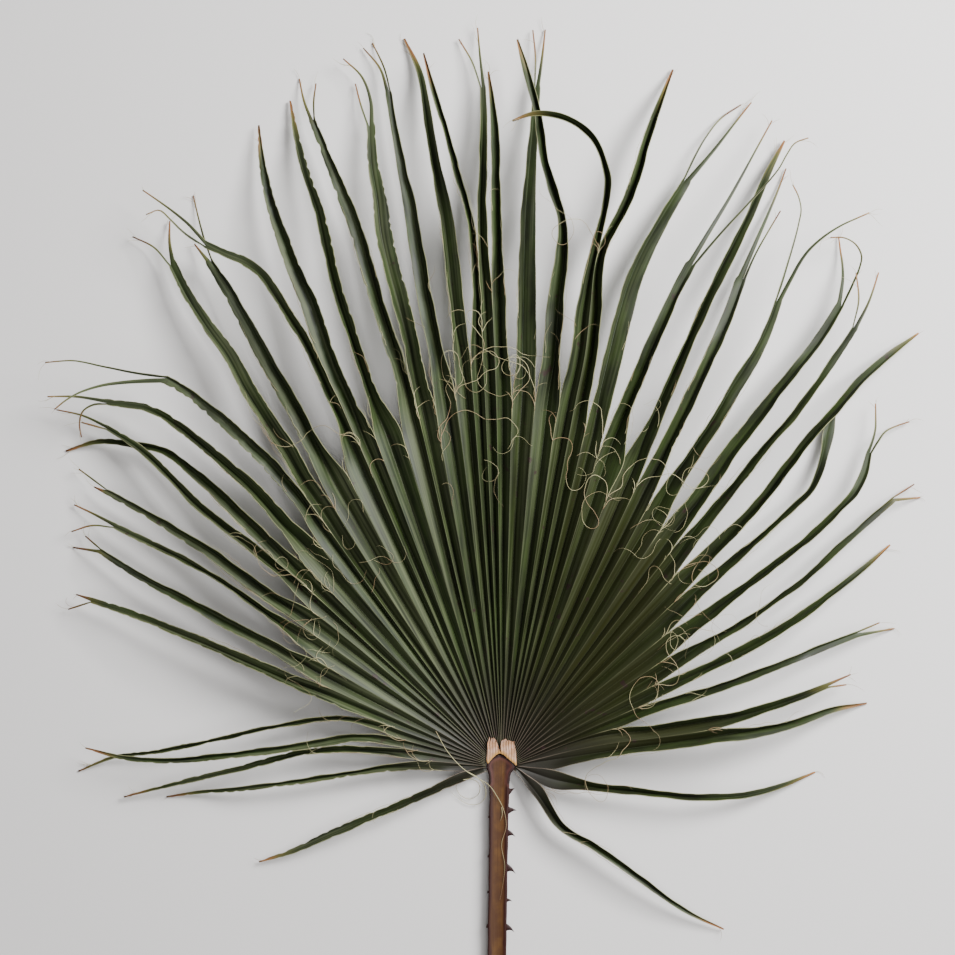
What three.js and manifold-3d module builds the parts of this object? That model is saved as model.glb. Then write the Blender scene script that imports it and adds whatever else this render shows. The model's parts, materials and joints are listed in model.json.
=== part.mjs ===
// Fan palm leaf, cut with part of its stalk and lying on its back: the upper face looks up (+Z), the stalk
// runs towards -Y and the blade fans out towards +Y. Millimetres. The origin is on the resting surface,
// straight under the point where the ribs of the blade meet.
import * as THREE from "three";
import { mergeVertices } from "three/addons/utils/BufferGeometryUtils.js";
import Module from "manifold-3d";

const wasm = await Module();
wasm.setup();

// Blade
const bladeThickness = 1.0;
const seamGap = 0.3; // between neighbouring segments along a shared seam
const ribStartZ = 10.5; // height of a rib's groove where it leaves the stalk
const bladeRise = 36; // how much higher the grooves lie in the middle of the blade
const bladeRiseAt = 300; // distance from the stalk at which they get there
const bladeDrop = 14; // how far the outer blade comes down again
const bladeDropFrom = 330;
const bladeDropLength = 320;
const pleatDepthStart = 1.6;
const pleatDepth = 11.5; // ridge above groove in the middle of the blade
const pleatDepthAt = 280;
const tipWidth = 1.5;
const halfPleatWidth = 9.5; // seen from above, where a segment is at its widest
const seamRelease = 55; // length over which a segment folds to its free width past a seam
const ribStarts = { x: 17, y: 18, centreY: -12, spread: 96 }; // the curve that the ribs start on
const seamStations = [0, 14, 34, 64, 104, 150, 200, 250, 300, 350, 400, 450, 500, 550];
const freeStep = 42;
const forkStep = 28;
const fineShare = 0.55; // how much closer the stations are on a tightly curved segment
const arcDivisions = 400;

// Stalk
const stalkEndY = -290;
const stalkHeight = 12;
const stalkStart = { x: -1.6, y: -31 };
const stalkSlant = 0.0139;
const restHalfWidth = 4; // the flat strip under the stalk
const keelEndY = 46; // the rib under the blade that carries the stalk on

// Collar flap (hastula)
const collarThickness = 0.8;
const collarZ = 14.6;

const plain = (color, roughness) => new THREE.MeshStandardMaterial({ color, roughness, metalness: 0 });
const bladeMaterial = () => plain(0x2c391c, 0.5);
const stalkMaterial = () => plain(0x7d5433, 0.45);
const collarMaterial = () => plain(0xd8bba0, 0.8);

// The segments, clockwise from the lower left as seen from above.
// path: x, y and, where it is known, the width seen from above.
// seam: how far from the stalk the segment stays joined to the next one.
// lift: height halfway along the free part. tip: clearance of the tip.
// lean: -1 to 1, how far the groove lies off the middle of the free part.
// fork: the two ends, left one first, each with its own path and tip. fine: stations closer together.
const segments = [
  {
    path: [[-111, -53, 8], [-188, -86, 8], [-240, -110, 5], [-271, -120]],
    seam: 25, lift: 17, tip: 4, lean: 0.5,
  },
  {
    path: [[-117, -12, 7], [-188, -22, 6], [-300, -38, 5], [-340, -42], [-375, -48]],
    seam: 70, lift: 20, tip: 0, lean: -0.4,
  },
  {
    path: [[-111, 4, 7], [-165, 9, 7], [-211, 7, 6], [-300, -15, 6], [-360, -30], [-422, -47]],
    seam: 85, lift: 26, tip: 6, lean: 0.4,
  },
  {
    path: [[-150, 22, 9], [-200, 17, 9], [-240, 11, 8], [-300, 4, 7], [-370, -3, 6], [-420, 0, 5],
      [-450, 2, 4], [-462, 10]],
    seam: 100, lift: 40, tip: 26, lean: -0.5,
  },
  {
    path: [[-111, 24, 6], [-160, 42, 5], [-210, 41, 5], [-262, 32, 4], [-340, 14, 4], [-400, 2, 4],
      [-440, -4, 3], [-474, -19]],
    seam: 120, lift: 22, tip: 0, lean: 0.3,
  },
  {
    path: [[-188, 68, 12], [-250, 95, 12], [-300, 117, 10], [-380, 149, 8], [-420, 163, 7],
      [-456, 174, 6]],
    seam: 200, lift: 36, tip: 0, lean: 0.5,
    fork: [{ path: [[-484, 163]], tip: 8 }, { path: [[-474, 180]], tip: 14 }],
  },
  {
    path: [[-200, 93, 11], [-260, 128, 12], [-300, 148, 12], [-340, 170, 10], [-400, 200, 8],
      [-447, 229, 6]],
    seam: 215, lift: 34, tip: 0, lean: -0.4,
    fork: [{ path: [[-480, 232]], tip: 0 }, { path: [[-465, 245]], tip: 7 }],
  },
  {
    path: [[-200, 122, 11], [-258, 162, 8], [-298, 190, 5], [-338, 214, 6], [-400, 243, 7],
      [-430, 257, 6]],
    seam: 235, lift: 40, tip: 0, lean: 0.5,
    fork: [{ path: [[-455, 257], [-480, 250]], tip: 10 }, { path: [[-455, 270], [-478, 280]], tip: 4 }],
  },
  {
    path: [[-200, 145, 12], [-240, 170, 13], [-280, 197, 13], [-299, 213, 12], [-338, 238, 10],
      [-400, 274, 7], [-440, 295, 6]],
    seam: 255, lift: 36, tip: 0, lean: -0.5,
    fork: [{ path: [[-454, 300]], tip: 14 }, { path: [[-472, 320]], tip: 8 }],
  },
  {
    path: [[-200, 172, 12], [-260, 223, 10], [-300, 253, 9], [-340, 285, 8], [-380, 325, 7],
      [-420, 357, 6], [-438, 366, 5]],
    seam: 270, lift: 38, tip: 0, lean: 0.5,
    fork: [{ path: [[-468, 372]], tip: 16 }, { path: [[-470, 381], [-495, 386]], tip: 20 }],
  },
  {
    path: [[-240, 222, 13], [-280, 262, 13], [-300, 281, 12], [-340, 316, 9], [-370, 338, 7],
      [-400, 346, 6], [-440, 350, 5], [-466, 350, 4], [-488, 340]],
    seam: 290, lift: 30, tip: 0, lean: -0.4,
  },
  {
    path: [[-238, 260, 13], [-276, 302, 12], [-318, 338, 9], [-356, 368, 8], [-388, 386, 7],
      [-436, 394, 6]],
    seam: 300, lift: 50, tip: 0, lean: 0.5, fine: true,
    fork: [
      { path: [[-458, 389], [-466, 375], [-464, 355]], tip: 38 },
      { path: [[-470, 400], [-502, 400]], tip: 36 },
    ],
  },
  {
    path: [[-237, 307, 13], [-277, 348, 12], [-318, 384, 10], [-350, 408, 8], [-368, 418, 8]],
    seam: 320, lift: 56, tip: 0, lean: -0.5, fine: true,
    fork: [
      { path: [[-400, 416], [-440, 411], [-470, 400], [-490, 385]], tip: 60 },
      { path: [[-400, 425], [-440, 433], [-470, 439], [-502, 437]], tip: 50 },
    ],
  },
  {
    path: [[-198, 276, 14], [-234, 339, 14], [-276, 402, 13], [-300, 445, 12], [-340, 500, 9],
      [-366, 548, 8]],
    seam: 330, lift: 34, tip: 0, lean: 0.5,
    fork: [{ path: [[-384, 565], [-412, 580]], tip: 8 }, { path: [[-370, 572], [-371, 598]], tip: 3 }],
  },
  {
    path: [[-200, 333, 14], [-224, 380, 14], [-261, 443, 13], [-300, 513, 10], [-324, 550, 7]],
    seam: 345, lift: 30, tip: 0, lean: -0.5,
    fork: [{ path: [[-343, 572]], tip: 6 }, { path: [[-334, 585], [-345, 627]], tip: 0 }],
  },
  {
    path: [[-165, 350, 10], [-200, 430, 8], [-215, 460, 8], [-240, 500, 8], [-270, 541, 8],
      [-300, 555, 7], [-325, 567, 6]],
    seam: 375, lift: 58, tip: 0, lean: 0.5, fine: true,
    fork: [
      { path: [[-348, 579], [-366, 596], [-380, 606], [-391, 600]], tip: 48 },
      { path: [[-345, 590], [-370, 610], [-396, 628]], tip: 40 },
    ],
  },
  {
    path: [[-150, 350, 14], [-190, 440, 16], [-210, 500, 15], [-230, 545, 12], [-250, 600, 10],
      [-262, 640, 7], [-268, 675, 5], [-271, 705]],
    seam: 370, lift: 38, tip: 6, lean: -0.4,
  },
  {
    path: [[-124, 350, 10], [-155, 440, 9], [-172, 490, 9], [-187, 540, 9], [-200, 600, 8],
      [-216, 645, 7], [-228, 690, 5], [-236, 733]],
    seam: 365, lift: 34, tip: 2, lean: 0.6,
  },
  {
    path: [[-97, 380, 12], [-118, 450, 12], [-141, 520, 12], [-158, 580, 12], [-172, 615, 11],
      [-190, 660, 8], [-210, 708, 6]],
    seam: 385, lift: 32, tip: 0, lean: -0.4,
    fork: [{ path: [[-222, 738], [-226, 758]], tip: 0 }, { path: [[-209, 730], [-207, 752]], tip: 4 }],
  },
  {
    path: [[-85, 380, 13], [-98, 451, 14], [-110, 501, 15], [-128, 570, 15], [-135, 620, 13],
      [-143, 665, 9], [-145, 702, 8]],
    seam: 380, lift: 30, tip: 0, lean: 0.4,
    fork: [
      { path: [[-158, 732], [-163, 752]], tip: 3 },
      { path: [[-146, 735], [-158, 762], [-176, 778]], tip: 14 },
    ],
  },
  {
    path: [[-62, 400, 14], [-82, 500, 14], [-95, 575, 13], [-101, 612, 12], [-115, 680, 7],
      [-125, 738, 6]],
    seam: 400, lift: 28, tip: 0, lean: -0.5,
    fork: [{ path: [[-136, 770], [-154, 792]], tip: 2 }, { path: [[-132, 773], [-144, 798]], tip: 0 }],
  },
  {
    path: [[-38, 400, 14], [-49, 500, 14], [-58, 580, 14], [-63, 612, 12], [-75, 670, 9], [-85, 735, 7],
      [-95, 778, 5], [-108, 803]],
    seam: 430, lift: 26, tip: 0, lean: 0.5,
  },
  {
    path: [[-26, 450, 9], [-28, 540, 7], [-34, 595, 6], [-47, 640, 6], [-57, 680, 5], [-70, 725, 5],
      [-80, 755, 4], [-86, 782]],
    seam: 470, lift: 42, tip: 26, lean: -0.5,
  },
  {
    path: [[-12, 400, 13], [-17, 500, 12], [-21, 600, 9], [-20, 660, 8], [-19, 705, 7], [-20, 745, 6]],
    seam: 512, lift: 26, tip: 0, lean: 0.4,
    fork: [{ path: [[-32, 775], [-47, 802]], tip: 3 }, { path: [[-23, 780], [-26, 814]], tip: 6 }],
  },
  {
    path: [[1, 400, 13], [-2, 500, 12], [-5, 600, 9], [-6, 680, 8], [-8, 715, 6], [-14, 765]],
    seam: 388, lift: 28, tip: 6, lean: -0.5,
  },
  {
    path: [[22, 380, 16], [27, 440, 18], [28, 500, 17], [30, 600, 14], [33, 650, 10], [36, 690, 8],
      [40, 745, 7]],
    seam: 390, lift: 24, tip: 0, lean: 0.4,
    fork: [{ path: [[39, 775], [36, 812]], tip: 4 }, { path: [[46, 778], [50, 813]], tip: 1 }],
  },
  {
    path: [[50, 380, 15], [57, 461, 15], [61, 511, 14], [67, 560, 10], [66, 595, 7], [56, 627, 7],
      [47, 661, 7], [40, 712, 6], [29, 755, 6], [18, 795]],
    seam: 385, lift: 62, tip: 38, lean: -0.5, fine: true,
  },
  {
    path: [[72, 380, 14], [88, 460, 14], [93, 510, 13], [104, 560, 9], [111, 595, 6], [116, 628, 5],
      [111, 655, 5], [98, 680, 5], [82, 695, 5], [62, 704, 5], [34, 707, 4], [12, 700]],
    seam: 570, lift: 74, tip: 70, lean: 0.4, fine: true,
  },
  {
    path: [[86, 380, 10], [104, 480, 9], [106, 541, 9], [117, 577, 9], [134, 605, 8], [146, 632, 8],
      [160, 680, 7], [175, 722, 5], [193, 768]],
    seam: 368, lift: 34, tip: 2, lean: -0.4,
  },
  {
    path: [[112, 400, 16], [136, 495, 16], [148, 533, 14], [166, 572, 12], [182, 600, 10],
      [206, 640, 8]],
    seam: 350, lift: 30, tip: 0, lean: 0.5,
    fork: [
      { path: [[226, 686], [252, 718], [270, 729]], tip: 0 },
      { path: [[238, 676], [258, 702], [281, 731]], tip: 3 },
    ],
  },
  {
    path: [[130, 370, 12], [176, 480, 10], [192, 515, 9], [207, 543, 9]],
    seam: 343, lift: 52, tip: 0, lean: -0.4, fine: true,
    fork: [
      { path: [[228, 580], [255, 624], [282, 672], [302, 708]], tip: 20 },
      { path: [[237, 574], [272, 612], [302, 646], [321, 676], [336, 682]], tip: 66 },
    ],
  },
  {
    path: [[149, 328, 13], [221, 491, 8], [241, 532, 9], [262, 572, 8], [281, 612, 7], [299, 652, 6],
      [318, 688]],
    seam: 328, lift: 32, tip: 4, lean: 0.5,
  },
  {
    path: [[165, 311, 13], [249, 483, 10], [267, 530, 10]],
    seam: 313, lift: 36, tip: 0, lean: -0.4,
    fork: [
      { path: [[289, 583], [309, 628], [320, 657]], tip: 2 },
      { path: [[283, 558], [300, 588], [312, 608]], tip: 16 },
    ],
  },
  {
    path: [[180, 289, 14], [236, 374, 11], [252, 402, 12], [275, 438, 11], [292, 470, 8],
      [304, 503, 7]],
    seam: 302, lift: 58, tip: 0, lean: 0.5, fine: true,
    fork: [
      { path: [[316, 548], [328, 590], [331, 612], [322, 634]], tip: 42 },
      { path: [[318, 528], [336, 558], [366, 583], [404, 601]], tip: 58 },
    ],
  },
  {
    path: [[222, 295, 15], [257, 344, 13], [293, 389, 11], [313, 415, 9], [350, 460, 9],
      [377, 502, 8]],
    seam: 288, lift: 32, tip: 0, lean: -0.4, fine: true,
    fork: [
      { path: [[382, 540], [379, 580]], tip: 2 },
      { path: [[393, 530], [401, 556], [388, 575], [366, 577]], tip: 26 },
    ],
  },
  {
    path: [[209, 244, 13], [253, 297, 9], [289, 342, 7], [326, 384, 7], [355, 424, 7], [380, 459, 7],
      [390, 475, 6]],
    seam: 267, lift: 46, tip: 0, lean: 0.5,
    fork: [{ path: [[394, 500], [391, 536]], tip: 48 }, { path: [[407, 505], [419, 538]], tip: 30 }],
  },
  {
    path: [[222, 220, 13], [286, 286, 9], [316, 326, 9], [338, 353, 8], [375, 393, 8], [404, 424, 8],
      [440, 453, 6], [467, 472]],
    seam: 253, lift: 50, tip: 10, lean: -0.4,
  },
  {
    path: [[225, 193, 13], [253, 217, 9], [285, 243, 6], [319, 273, 5], [347, 300, 7], [360, 332, 8],
      [366, 358, 12], [373, 384, 5]],
    seam: 220, lift: 24, tip: 4, lean: 0.3, fine: true,
  },
  {
    path: [[230, 161, 12], [259, 183, 9], [297, 211, 7], [340, 244, 7], [380, 281, 7], [399, 304, 9],
      [410, 338, 6]],
    seam: 200, lift: 36, tip: 0, lean: -0.3, fine: true,
    fork: [{ path: [[417, 362], [418, 393]], tip: 16 }, { path: [[430, 362], [458, 373]], tip: 4 }],
  },
  {
    path: [[232, 130, 10], [270, 151, 7], [300, 172, 5], [335, 197, 6], [362, 221, 7], [400, 254, 7],
      [438, 286, 6]],
    seam: 178, lift: 30, tip: 0, lean: 0.5,
    fork: [{ path: [[463, 303]], tip: 6 }, { path: [[471, 288]], tip: 0 }],
  },
  {
    path: [[202, 88, 10], [234, 103, 10], [272, 123, 10], [310, 143, 9], [352, 172, 7], [394, 201, 6],
      [437, 235]],
    seam: 150, lift: 34, tip: 0, lean: -0.4,
  },
  {
    path: [[175, 58, 10], [204, 66, 10], [242, 78, 9], [300, 99, 8], [360, 122, 8], [398, 136, 7]],
    seam: 120, lift: 30, tip: 0, lean: 0.4,
    fork: [{ path: [[424, 148]], tip: 7 }, { path: [[442, 141]], tip: 0 }],
  },
  {
    path: [[100, 20, 9], [165, 30, 12], [200, 36, 13], [242, 44, 11], [300, 58, 9], [345, 73, 7],
      [364, 79, 6]],
    seam: 222, lift: 36, tip: 0, lean: -0.4,
    fork: [{ path: [[390, 91]], tip: 18 }, { path: [[386, 79]], tip: 12 }],
  },
  {
    path: [[100, 2, 7], [140, 9, 9], [200, 18, 11], [240, 25, 12], [280, 29, 12], [312, 35, 10],
      [340, 41, 8], [368, 51, 7], [394, 59, 6], [411, 57]],
    seam: 40, lift: 26, tip: 0, lean: 0.5,
  },
  {
    path: [[60, -27, 10], [100, -33, 9], [150, -38, 8], [200, -43, 7], [250, -45, 7], [300, -38, 6],
      [353, -20]],
    seam: 35, lift: 24, tip: 0, lean: -0.3,
  },
  {
    path: [[38, -40, 7], [60, -72, 8], [100, -98, 8], [150, -132, 7], [200, -170, 5], [250, -196]],
    seam: 0, lift: 20, tip: 3, lean: 0.4,
  },
];

const smooth = (t) => {
  const k = THREE.MathUtils.clamp(t, 0, 1);
  return k * k * (3 - 2 * k);
};
const grooveHeight = (s) => {
  const risen = ribStartZ + bladeRise * smooth(s / bladeRiseAt);
  return risen - bladeDrop * smooth((s - bladeDropFrom) / bladeDropLength);
};
const pleatHeight = (s) => pleatDepthStart + (pleatDepth - pleatDepthStart) * smooth(s / pleatDepthAt);

// A smooth curve through points that never overshoots them (monotone cubic), for heights and widths.
function eased(xs, ys, x) {
  const last = xs.length - 1;
  if (x <= xs[0]) return ys[0];
  if (x >= xs[last]) return ys[last];
  const rise = xs.slice(1).map((v, i) => (ys[i + 1] - ys[i]) / (v - xs[i]));
  const slope = xs.map((v, i) => {
    if (i === 0) return rise[0];
    if (i === last) return rise[last - 1];
    return rise[i - 1] * rise[i] <= 0 ? 0 : (2 * rise[i - 1] * rise[i]) / (rise[i - 1] + rise[i]);
  });
  const i = xs.findIndex((v, k) => k < last && x <= xs[k + 1]);
  const h = xs[i + 1] - xs[i];
  const t = (x - xs[i]) / h;
  const curve = (1 + 2 * t) * (1 - t) ** 2 * ys[i] + t * t * (3 - 2 * t) * ys[i + 1];
  return curve + h * t * (1 - t) * ((1 - t) * slope[i] - t * slope[i + 1]);
}

// A plan curve with its length measured along it. at(s) gives the point and the direction to its left.
function planCurve(points) {
  const knots = points.map(([x, y]) => new THREE.Vector3(x, y, 0));
  const curve = new THREE.CatmullRomCurve3(knots, false, "centripetal");
  curve.arcLengthDivisions = arcDivisions;
  const length = curve.getLength();
  return {
    length,
    at(s) {
      const u = THREE.MathUtils.clamp(s / length, 0, 1);
      const point = curve.getPointAt(u);
      const along = curve.getTangentAt(u);
      return { x: point.x, y: point.y, leftX: -along.y, leftY: along.x };
    },
    // The length at which the curve passes each of its points
    marks() {
      const lengths = curve.getLengths(arcDivisions);
      return points.map((p, i) => lengths[Math.round((arcDivisions * i) / (points.length - 1))]);
    },
  };
}

const ribStart = (i) => {
  const angle = THREE.MathUtils.degToRad((i / (segments.length - 1) - 0.5) * 2 * ribStarts.spread);
  return [ribStarts.x * Math.sin(angle), ribStarts.centreY + ribStarts.y * Math.cos(angle)];
};

const curves = segments.map((segment, i) => planCurve([ribStart(i), ...segment.path]));
const seamPoint = (i, s) => {
  const a = curves[i].at(s);
  const b = curves[i + 1].at(s);
  return { x: (a.x + b.x) / 2, y: (a.y + b.y) / 2 };
};

// Turns rings of top points into one closed strip. Each ring is [left, groove, right], each [x, y, z].
class Strip {
  constructor() {
    this.vertices = [];
    this.triangles = [];
  }
  ring(points) {
    const first = this.vertices.length;
    points.forEach((p) => this.vertices.push(p));
    [...points].reverse().forEach(([x, y, z]) => this.vertices.push([x, y, z - bladeThickness]));
    return points.concat(points).map((p, k) => first + k);
  }
  // The underside is split along the same diagonals as the top, so the two never meet on a twisted face.
  join(from, to) {
    const half = from.length / 2;
    from.forEach((a, k) => {
      const b = from[(k + 1) % from.length];
      const c = to[(k + 1) % to.length];
      if (k < half) this.triangles.push([a, b, c], [a, c, to[k]]);
      else this.triangles.push([a, b, to[k]], [b, c, to[k]]);
    });
  }
  cap(ring, isStart) {
    const half = ring.length / 2;
    for (let k = 0; k < half - 1; k += 1) {
      const quad = [ring[k], ring[k + 1], ring[ring.length - 2 - k], ring[ring.length - 1 - k]];
      const [a, b, c, d] = isStart ? [...quad].reverse() : quad;
      this.triangles.push([a, b, c], [a, c, d]);
    }
  }
  geometry() {
    const geometry = new THREE.BufferGeometry();
    geometry.setAttribute("position", new THREE.Float32BufferAttribute(this.vertices.flat(), 3));
    geometry.setIndex(this.triangles.flat());
    geometry.computeVertexNormals();
    return geometry;
  }
}

function segmentGeometry(index) {
  const segment = segments[index];
  const curve = curves[index];
  const { length } = curve;
  const seamLeft = index > 0 ? segments[index - 1].seam : 0;
  const seamRight = index < segments.length - 1 ? segment.seam : 0;
  const joined = Math.max(seamLeft, seamRight, 20);
  const marks = curve.marks();
  const known = segment.path.map((p, i) => [marks[i + 1], p[2]]).filter((p) => p[1]);
  if (!segment.fork && !segment.path.at(-1)[2]) known.push([length, tipWidth]);
  const width = (s) => eased(known.map((p) => p[0]), known.map((p) => p[1]), s);

  // Heights of the groove: with the blade while joined, then on its own over the middle to the tip
  const low = bladeThickness;
  const forkBase = Math.min(segment.lift, segment.lift * 0.45 + segment.tip + low + 4);
  const endZ = segment.fork ? forkBase : segment.tip + low;
  const forkZ = segment.fork ? Math.max(...segment.fork.map((f) => f.tip)) : 0;
  const lastZ = Math.max(endZ, forkZ * 0.95);
  const middle = joined + (length - joined) * 0.5;
  const heights = [
    [joined - 60, grooveHeight(joined - 60)],
    [joined, grooveHeight(joined)],
    [middle, segment.lift],
    [length, lastZ],
  ];
  const groove = (s) =>
    s <= joined ? grooveHeight(s) : eased(heights.map((p) => p[0]), heights.map((p) => p[1]), s);

  // Breadth of each half of the strip along its own surface
  const widest = Math.hypot(halfPleatWidth, pleatHeight(joined));
  const breadth = (s) => {
    const u = THREE.MathUtils.clamp((s - joined) / (length - joined), 0, 1);
    return widest * (1 - 0.82 * u ** 1.6) * (segment.fork ? 1 : 1 - 0.6 * smooth((u - 0.8) / 0.2));
  };

  const ringAt = (s) => {
    const p = curve.at(s);
    const half = width(s) / 2;
    const free = smooth((s - joined) / seamRelease);
    const lean = segment.lean * free;
    const size = Math.min(breadth(s), widest);
    const side = (sign, neighbour, seam) => {
      const released = smooth((s - seam) / seamRelease);
      let x = p.x + sign * p.leftX * half;
      let y = p.y + sign * p.leftY * half;
      if (neighbour !== null && released < 1) {
        const at = Math.min(s, seam);
        const joint = seamPoint(neighbour, at);
        const own = curve.at(at);
        const reach = Math.hypot(joint.x - own.x, joint.y - own.y) - seamGap / 2;
        const shrink = reach / (reach + seamGap / 2);
        const jx = s <= seam ? p.x + (joint.x - own.x) * shrink : p.x + sign * p.leftX * reach;
        const jy = s <= seam ? p.y + (joint.y - own.y) * shrink : p.y + sign * p.leftY * reach;
        x = THREE.MathUtils.lerp(jx, x, released);
        y = THREE.MathUtils.lerp(jy, y, released);
      }
      const across = half * (1 - sign * lean);
      const ownRise = Math.sqrt(Math.max(size * size - across * across, (0.3 * size) ** 2));
      const rise = THREE.MathUtils.lerp(pleatHeight(Math.min(s, joined)), ownRise, released);
      return [x, y, groove(s) + Math.min(rise, size)];
    };
    const left = side(1, index > 0 ? index - 1 : null, seamLeft);
    const right = side(-1, index < segments.length - 1 ? index : null, seamRight);
    const centre = [p.x + p.leftX * half * lean, p.y + p.leftY * half * lean, groove(s)];
    return [left, centre, right];
  };

  const stations = seamStations.filter((s) => s < joined - 10);
  [seamLeft, seamRight].forEach((s) => {
    if (s > 20 && s < joined - 10) stations.push(s);
  });
  stations.push(joined);
  const step = segment.fine ? freeStep * fineShare : freeStep;
  const count = Math.max(3, Math.round((length - joined) / step));
  for (let k = 1; k <= count; k += 1) stations.push(joined + ((length - joined) * k) / count);
  stations.sort((a, b) => a - b);

  const strip = new Strip();
  let previous = null;
  let lastPoints = null;
  stations.forEach((s) => {
    lastPoints = ringAt(s);
    const ring = strip.ring(lastPoints);
    if (previous) strip.join(previous, ring);
    else strip.cap(ring, true);
    previous = ring;
  });
  if (!segment.fork) {
    strip.cap(previous, false);
    return strip.geometry();
  }

  // The two ends of a forked segment share the groove edge of the last ring
  const [lt, mt, rt, rb, mb, lb] = previous;
  const [left, centre, right] = lastPoints;
  [
    { end: segment.fork[0], ring: [lt, mt, mb, lb], outer: left, inner: centre },
    { end: segment.fork[1], ring: [mt, rt, rb, mb], outer: centre, inner: right },
  ].forEach(({ end, ring, outer, inner }) => {
    const startX = (outer[0] + inner[0]) / 2;
    const startY = (outer[1] + inner[1]) / 2;
    const branch = planCurve([[startX, startY], ...end.path]);
    const startWidth = Math.hypot(outer[0] - inner[0], outer[1] - inner[1]);
    const steps = Math.max(2, Math.round(branch.length / (segment.fine ? forkStep * fineShare : forkStep)));
    let from = ring;
    for (let k = 1; k <= steps; k += 1) {
      const t = k / steps;
      const p = branch.at(branch.length * t);
      const half = THREE.MathUtils.lerp(Math.max(startWidth, 3), tipWidth, t ** 0.8) / 2;
      const ease = smooth(t);
      const points = [[1, outer[2]], [-1, inner[2]]].map(([sign, z]) => [
        p.x + sign * p.leftX * half,
        p.y + sign * p.leftY * half,
        THREE.MathUtils.lerp(z, end.tip + low, ease),
      ]);
      const to = strip.ring(points);
      strip.join(from, to);
      from = to;
    }
    strip.cap(from, false);
  });
  return strip.geometry();
}

// A closed solid lofted through rings that all have the same number of points
function loft(rings) {
  const n = rings[0].length;
  const vertices = rings.flat();
  const triangles = [];
  for (let r = 0; r < rings.length - 1; r += 1) {
    for (let k = 0; k < n; k += 1) {
      const a = r * n + k;
      const b = r * n + ((k + 1) % n);
      triangles.push([a, b + n, b], [a, a + n, b + n]);
    }
  }
  const last = (rings.length - 1) * n;
  for (let k = 1; k < n - 1; k += 1) {
    triangles.push([0, k, k + 1]);
    triangles.push([last, last + k + 1, last + k]);
  }
  const geometry = new THREE.BufferGeometry();
  geometry.setAttribute("position", new THREE.Float32BufferAttribute(vertices.flat(), 3));
  geometry.setIndex(triangles.flat());
  return geometry;
}

function toSolid(geometry) {
  const merged = mergeVertices(geometry, 1e-5);
  const vertProperties = new Float32Array(merged.attributes.position.array);
  const triVerts = new Uint32Array(merged.index.array);
  return new wasm.Manifold(new wasm.Mesh({ numProp: 3, vertProperties, triVerts }));
}

function fromSolid(solid) {
  const mesh = solid.getMesh();
  const geometry = new THREE.BufferGeometry();
  geometry.setAttribute("position", new THREE.BufferAttribute(new Float32Array(mesh.vertProperties), 3));
  geometry.setIndex(Array.from(mesh.triVerts));
  geometry.computeVertexNormals();
  return geometry;
}

// The stalk runs very slightly aslant
const stalkMiddle = (y) => stalkStart.x + (y - stalkStart.y) * stalkSlant;

// Stalk: flat strip underneath, rounded sides, sharp upper margins and a shallow channel between them.
// It ends in an arch that the ribs of the blade start around, and a low keel carries on under the blade.
function stalkSection(y, halfWidth, top, keel, lift) {
  const x = stalkMiddle(y);
  const low = keel ? 0.55 : 1;
  return [
    [restHalfWidth * low, 0],
    [halfWidth * 0.72, top * 0.2],
    [halfWidth * 0.95, top * 0.58],
    [halfWidth, top * 0.9],
    [halfWidth * 0.93, top],
    [halfWidth * 0.5, top - 1.0],
    [0, top - 1.4],
    [-halfWidth * 0.5, top - 1.0],
    [-halfWidth * 0.93, top],
    [-halfWidth, top * 0.9],
    [-halfWidth * 0.95, top * 0.58],
    [-halfWidth * 0.72, top * 0.2],
    [-restHalfWidth * low, 0],
  ].map(([dx, z]) => [x + dx, y, z + lift]);
}

// A marginal tooth: a flattened thorn that hooks back towards the cut end
function tooth(side, y, size) {
  const rootX = stalkMiddle(y) + side * 9.6;
  const rings = [[0, 0, 3.2, 2.2], [0.35, 0.2, 2.6, 1.7], [0.7, 0.75, 1.5, 1.1], [1, 1.6, 0.35, 0.35]].map(
    ([out, back, along, thick]) => {
      const x = rootX + side * (1.6 + out * size * 0.72);
      const cy = y - back * size * 0.3;
      const cz = stalkHeight - 2.3 + out * 0.6;
      const scale = 0.55 + size * 0.07;
      return [0, 1, 2, 3, 4, 5].map((k) => {
        const angle = (k * Math.PI) / 3;
        return [x, cy + Math.cos(angle) * along * scale, cz + Math.sin(angle) * thick * scale * 0.8];
      });
    },
  );
  rings.unshift(rings[0].map(([x, cy, cz]) => [x - side * 3, cy, cz]));
  return loft(side > 0 ? rings.map((ring) => [...ring].reverse()) : rings);
}

function stalkGeometry() {
  const shaft = [stalkEndY, -240, -190, -140, -95, -60, -38, -26].map((y) =>
    stalkSection(y, THREE.MathUtils.mapLinear(y, stalkEndY, -26, 10.2, 11.2), stalkHeight, false, 0));
  const archWidths = [[-18, 13.2], [-11, 15.2], [-7, 14.6], [-3.5, 12.4], [-0.5, 9.2], [1.6, 6.2]];
  const arch = archWidths.map(([y, half]) => stalkSection(y, half, stalkHeight + 0.4, false, 0));
  const keel = [[3.2, 8.5, 8.4, 0], [8, 7.6, 8.2, 0], [24, 5.2, 7.4, 1.4], [keelEndY, 2.4, 4.5, 5.4]].map(
    ([y, half, top, lift]) => stalkSection(y, half, top, true, lift));
  let solid = toSolid(loft([...shaft, ...arch, ...keel]));
  const right = [
    [-36, 5.2], [-59, 6.2], [-87, 5.4], [-127, 7.4], [-162, 4.6], [-192, 5.6], [-228, 5.4], [-262, 6],
  ];
  const left = [[-69, 2.6], [-114, 2.4], [-155, 3.2], [-191, 2.8], [-236, 3.4], [-270, 3]];
  right.forEach(([y, size]) => {
    solid = solid.add(toSolid(tooth(1, y, size)));
  });
  left.forEach(([y, size]) => {
    solid = solid.add(toSolid(tooth(-1, y, size)));
  });
  return fromSolid(solid);
}

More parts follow.
